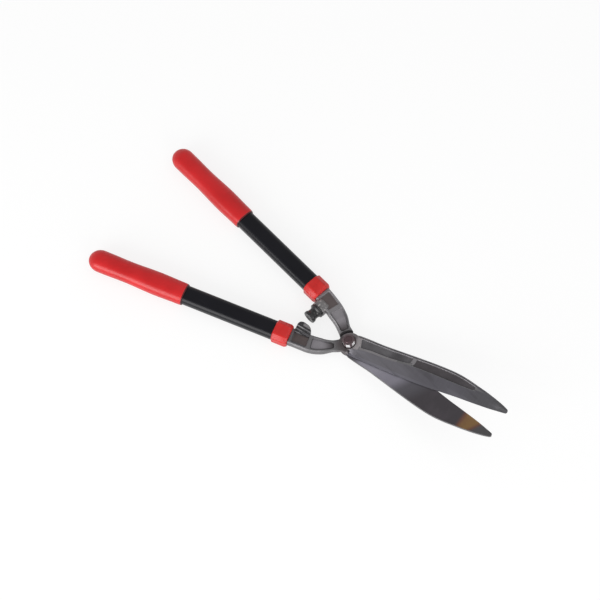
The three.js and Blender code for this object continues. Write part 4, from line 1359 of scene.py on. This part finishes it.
def vinyl_finish(name, low, high):
    finish = Finish(name, Metallic=0, Specular_IOR_Level=0.55)
    finish.shader.inputs["Subsurface Weight"].default_value = 0.06
    finish.shader.inputs["Subsurface Radius"].default_value = (0.004, 0.001, 0.001)
    here = finish.place()
    cloud = finish.noise(here, 28, 3)
    skin = finish.noise(here, 420, 3)
    dirt = finish.noise(here, 90, 5, 0.65)
    colour = finish.mixed(cloud.between(0.3, 0.7), low, high)
    colour = finish.mixed(dirt.between(0.62, 0.85) * 0.35, colour, srgb(165, 30, 30))
    return finish.wear(
        Base_Color=colour, Roughness=0.26 + 0.14 * skin + 0.08 * cloud,
        Normal=finish.bump(skin, 0.00012, 0.35))


def grip_section(scale, draw, power, sides=72):
    made = []
    for k in range(sides):
        turn = 2 * math.pi * k / sides
        x, y = math.cos(turn), math.sin(turn)
        made.append((
            math.copysign(abs(x) ** power, x) * (GRIP_WIDTH * scale / 2 - draw),
            math.copysign(abs(y) ** power, y) * (GRIP_THICK * scale / 2 - draw)))
    return made


def grip(word, side):
    place = handle_place(side)
    straight = 1 - ROUND_SHARE
    rings = []

    def add(share, scale, draw=0.0, power=SQUARENESS):
        along = GRIP_START + share * GRIP_LENGTH
        rings.append([(along, x, y) for x, y in grip_section(scale, draw, power)])

    for turn in quarter_turn(4):
        lip = LIP_ROUND * (1 - math.sin(turn))
        add(LIP_SHARE * (1 - math.cos(turn)), smooth(swell_shares, 0), lip)
    add(LIP_END, smooth(swell_shares, LIP_END))
    for k in range(1, 61):
        share = LIP_SHARE + (straight - LIP_SHARE) * k / 60
        add(share, smooth(swell_shares, share))
    for k in range(1, 25):
        turn, power = k / 24 * math.pi / 2, SQUARENESS + (1 - SQUARENESS) * k / 24
        scale = smooth(swell_shares, straight) * max(math.cos(turn), 0.004)
        add(straight + ROUND_SHARE * math.sin(turn), scale, power=power)
    bore = hole_plug(tube_hole, GRIP_START - OVER, GRIP_END - END_WALL, place, [red_vinyl])
    shell = skinned(f"{word}_grip_made", rings, place, [red_vinyl])
    worked(shell, "DIFFERENCE", bore)
    # The faces at the mouth take a dark red: painted shade where the grip meets the tube
    shell.data.materials.append(mouth_shade_vinyl)
    from_place = place.inverted()
    for face in shell.data.polygons:
        if (from_place @ face.center).x < GRIP_START + MOUTH:
            face.material_index = len(shell.data.materials) - 1
    shaded(shell, 40)
    stands_for(shell, f"{word}_grip", f"{word}_half")


red_vinyl = vinyl_finish("red_vinyl", srgb(196, 12, 17), srgb(210, 22, 27))
# Dark red painted shade for the grip's mouth
mouth_shade_vinyl = vinyl_finish("mouth_of_the_grip", srgb(70, 10, 14), srgb(84, 12, 16))
for word, side in SIDES.items():
    grip(word, side)
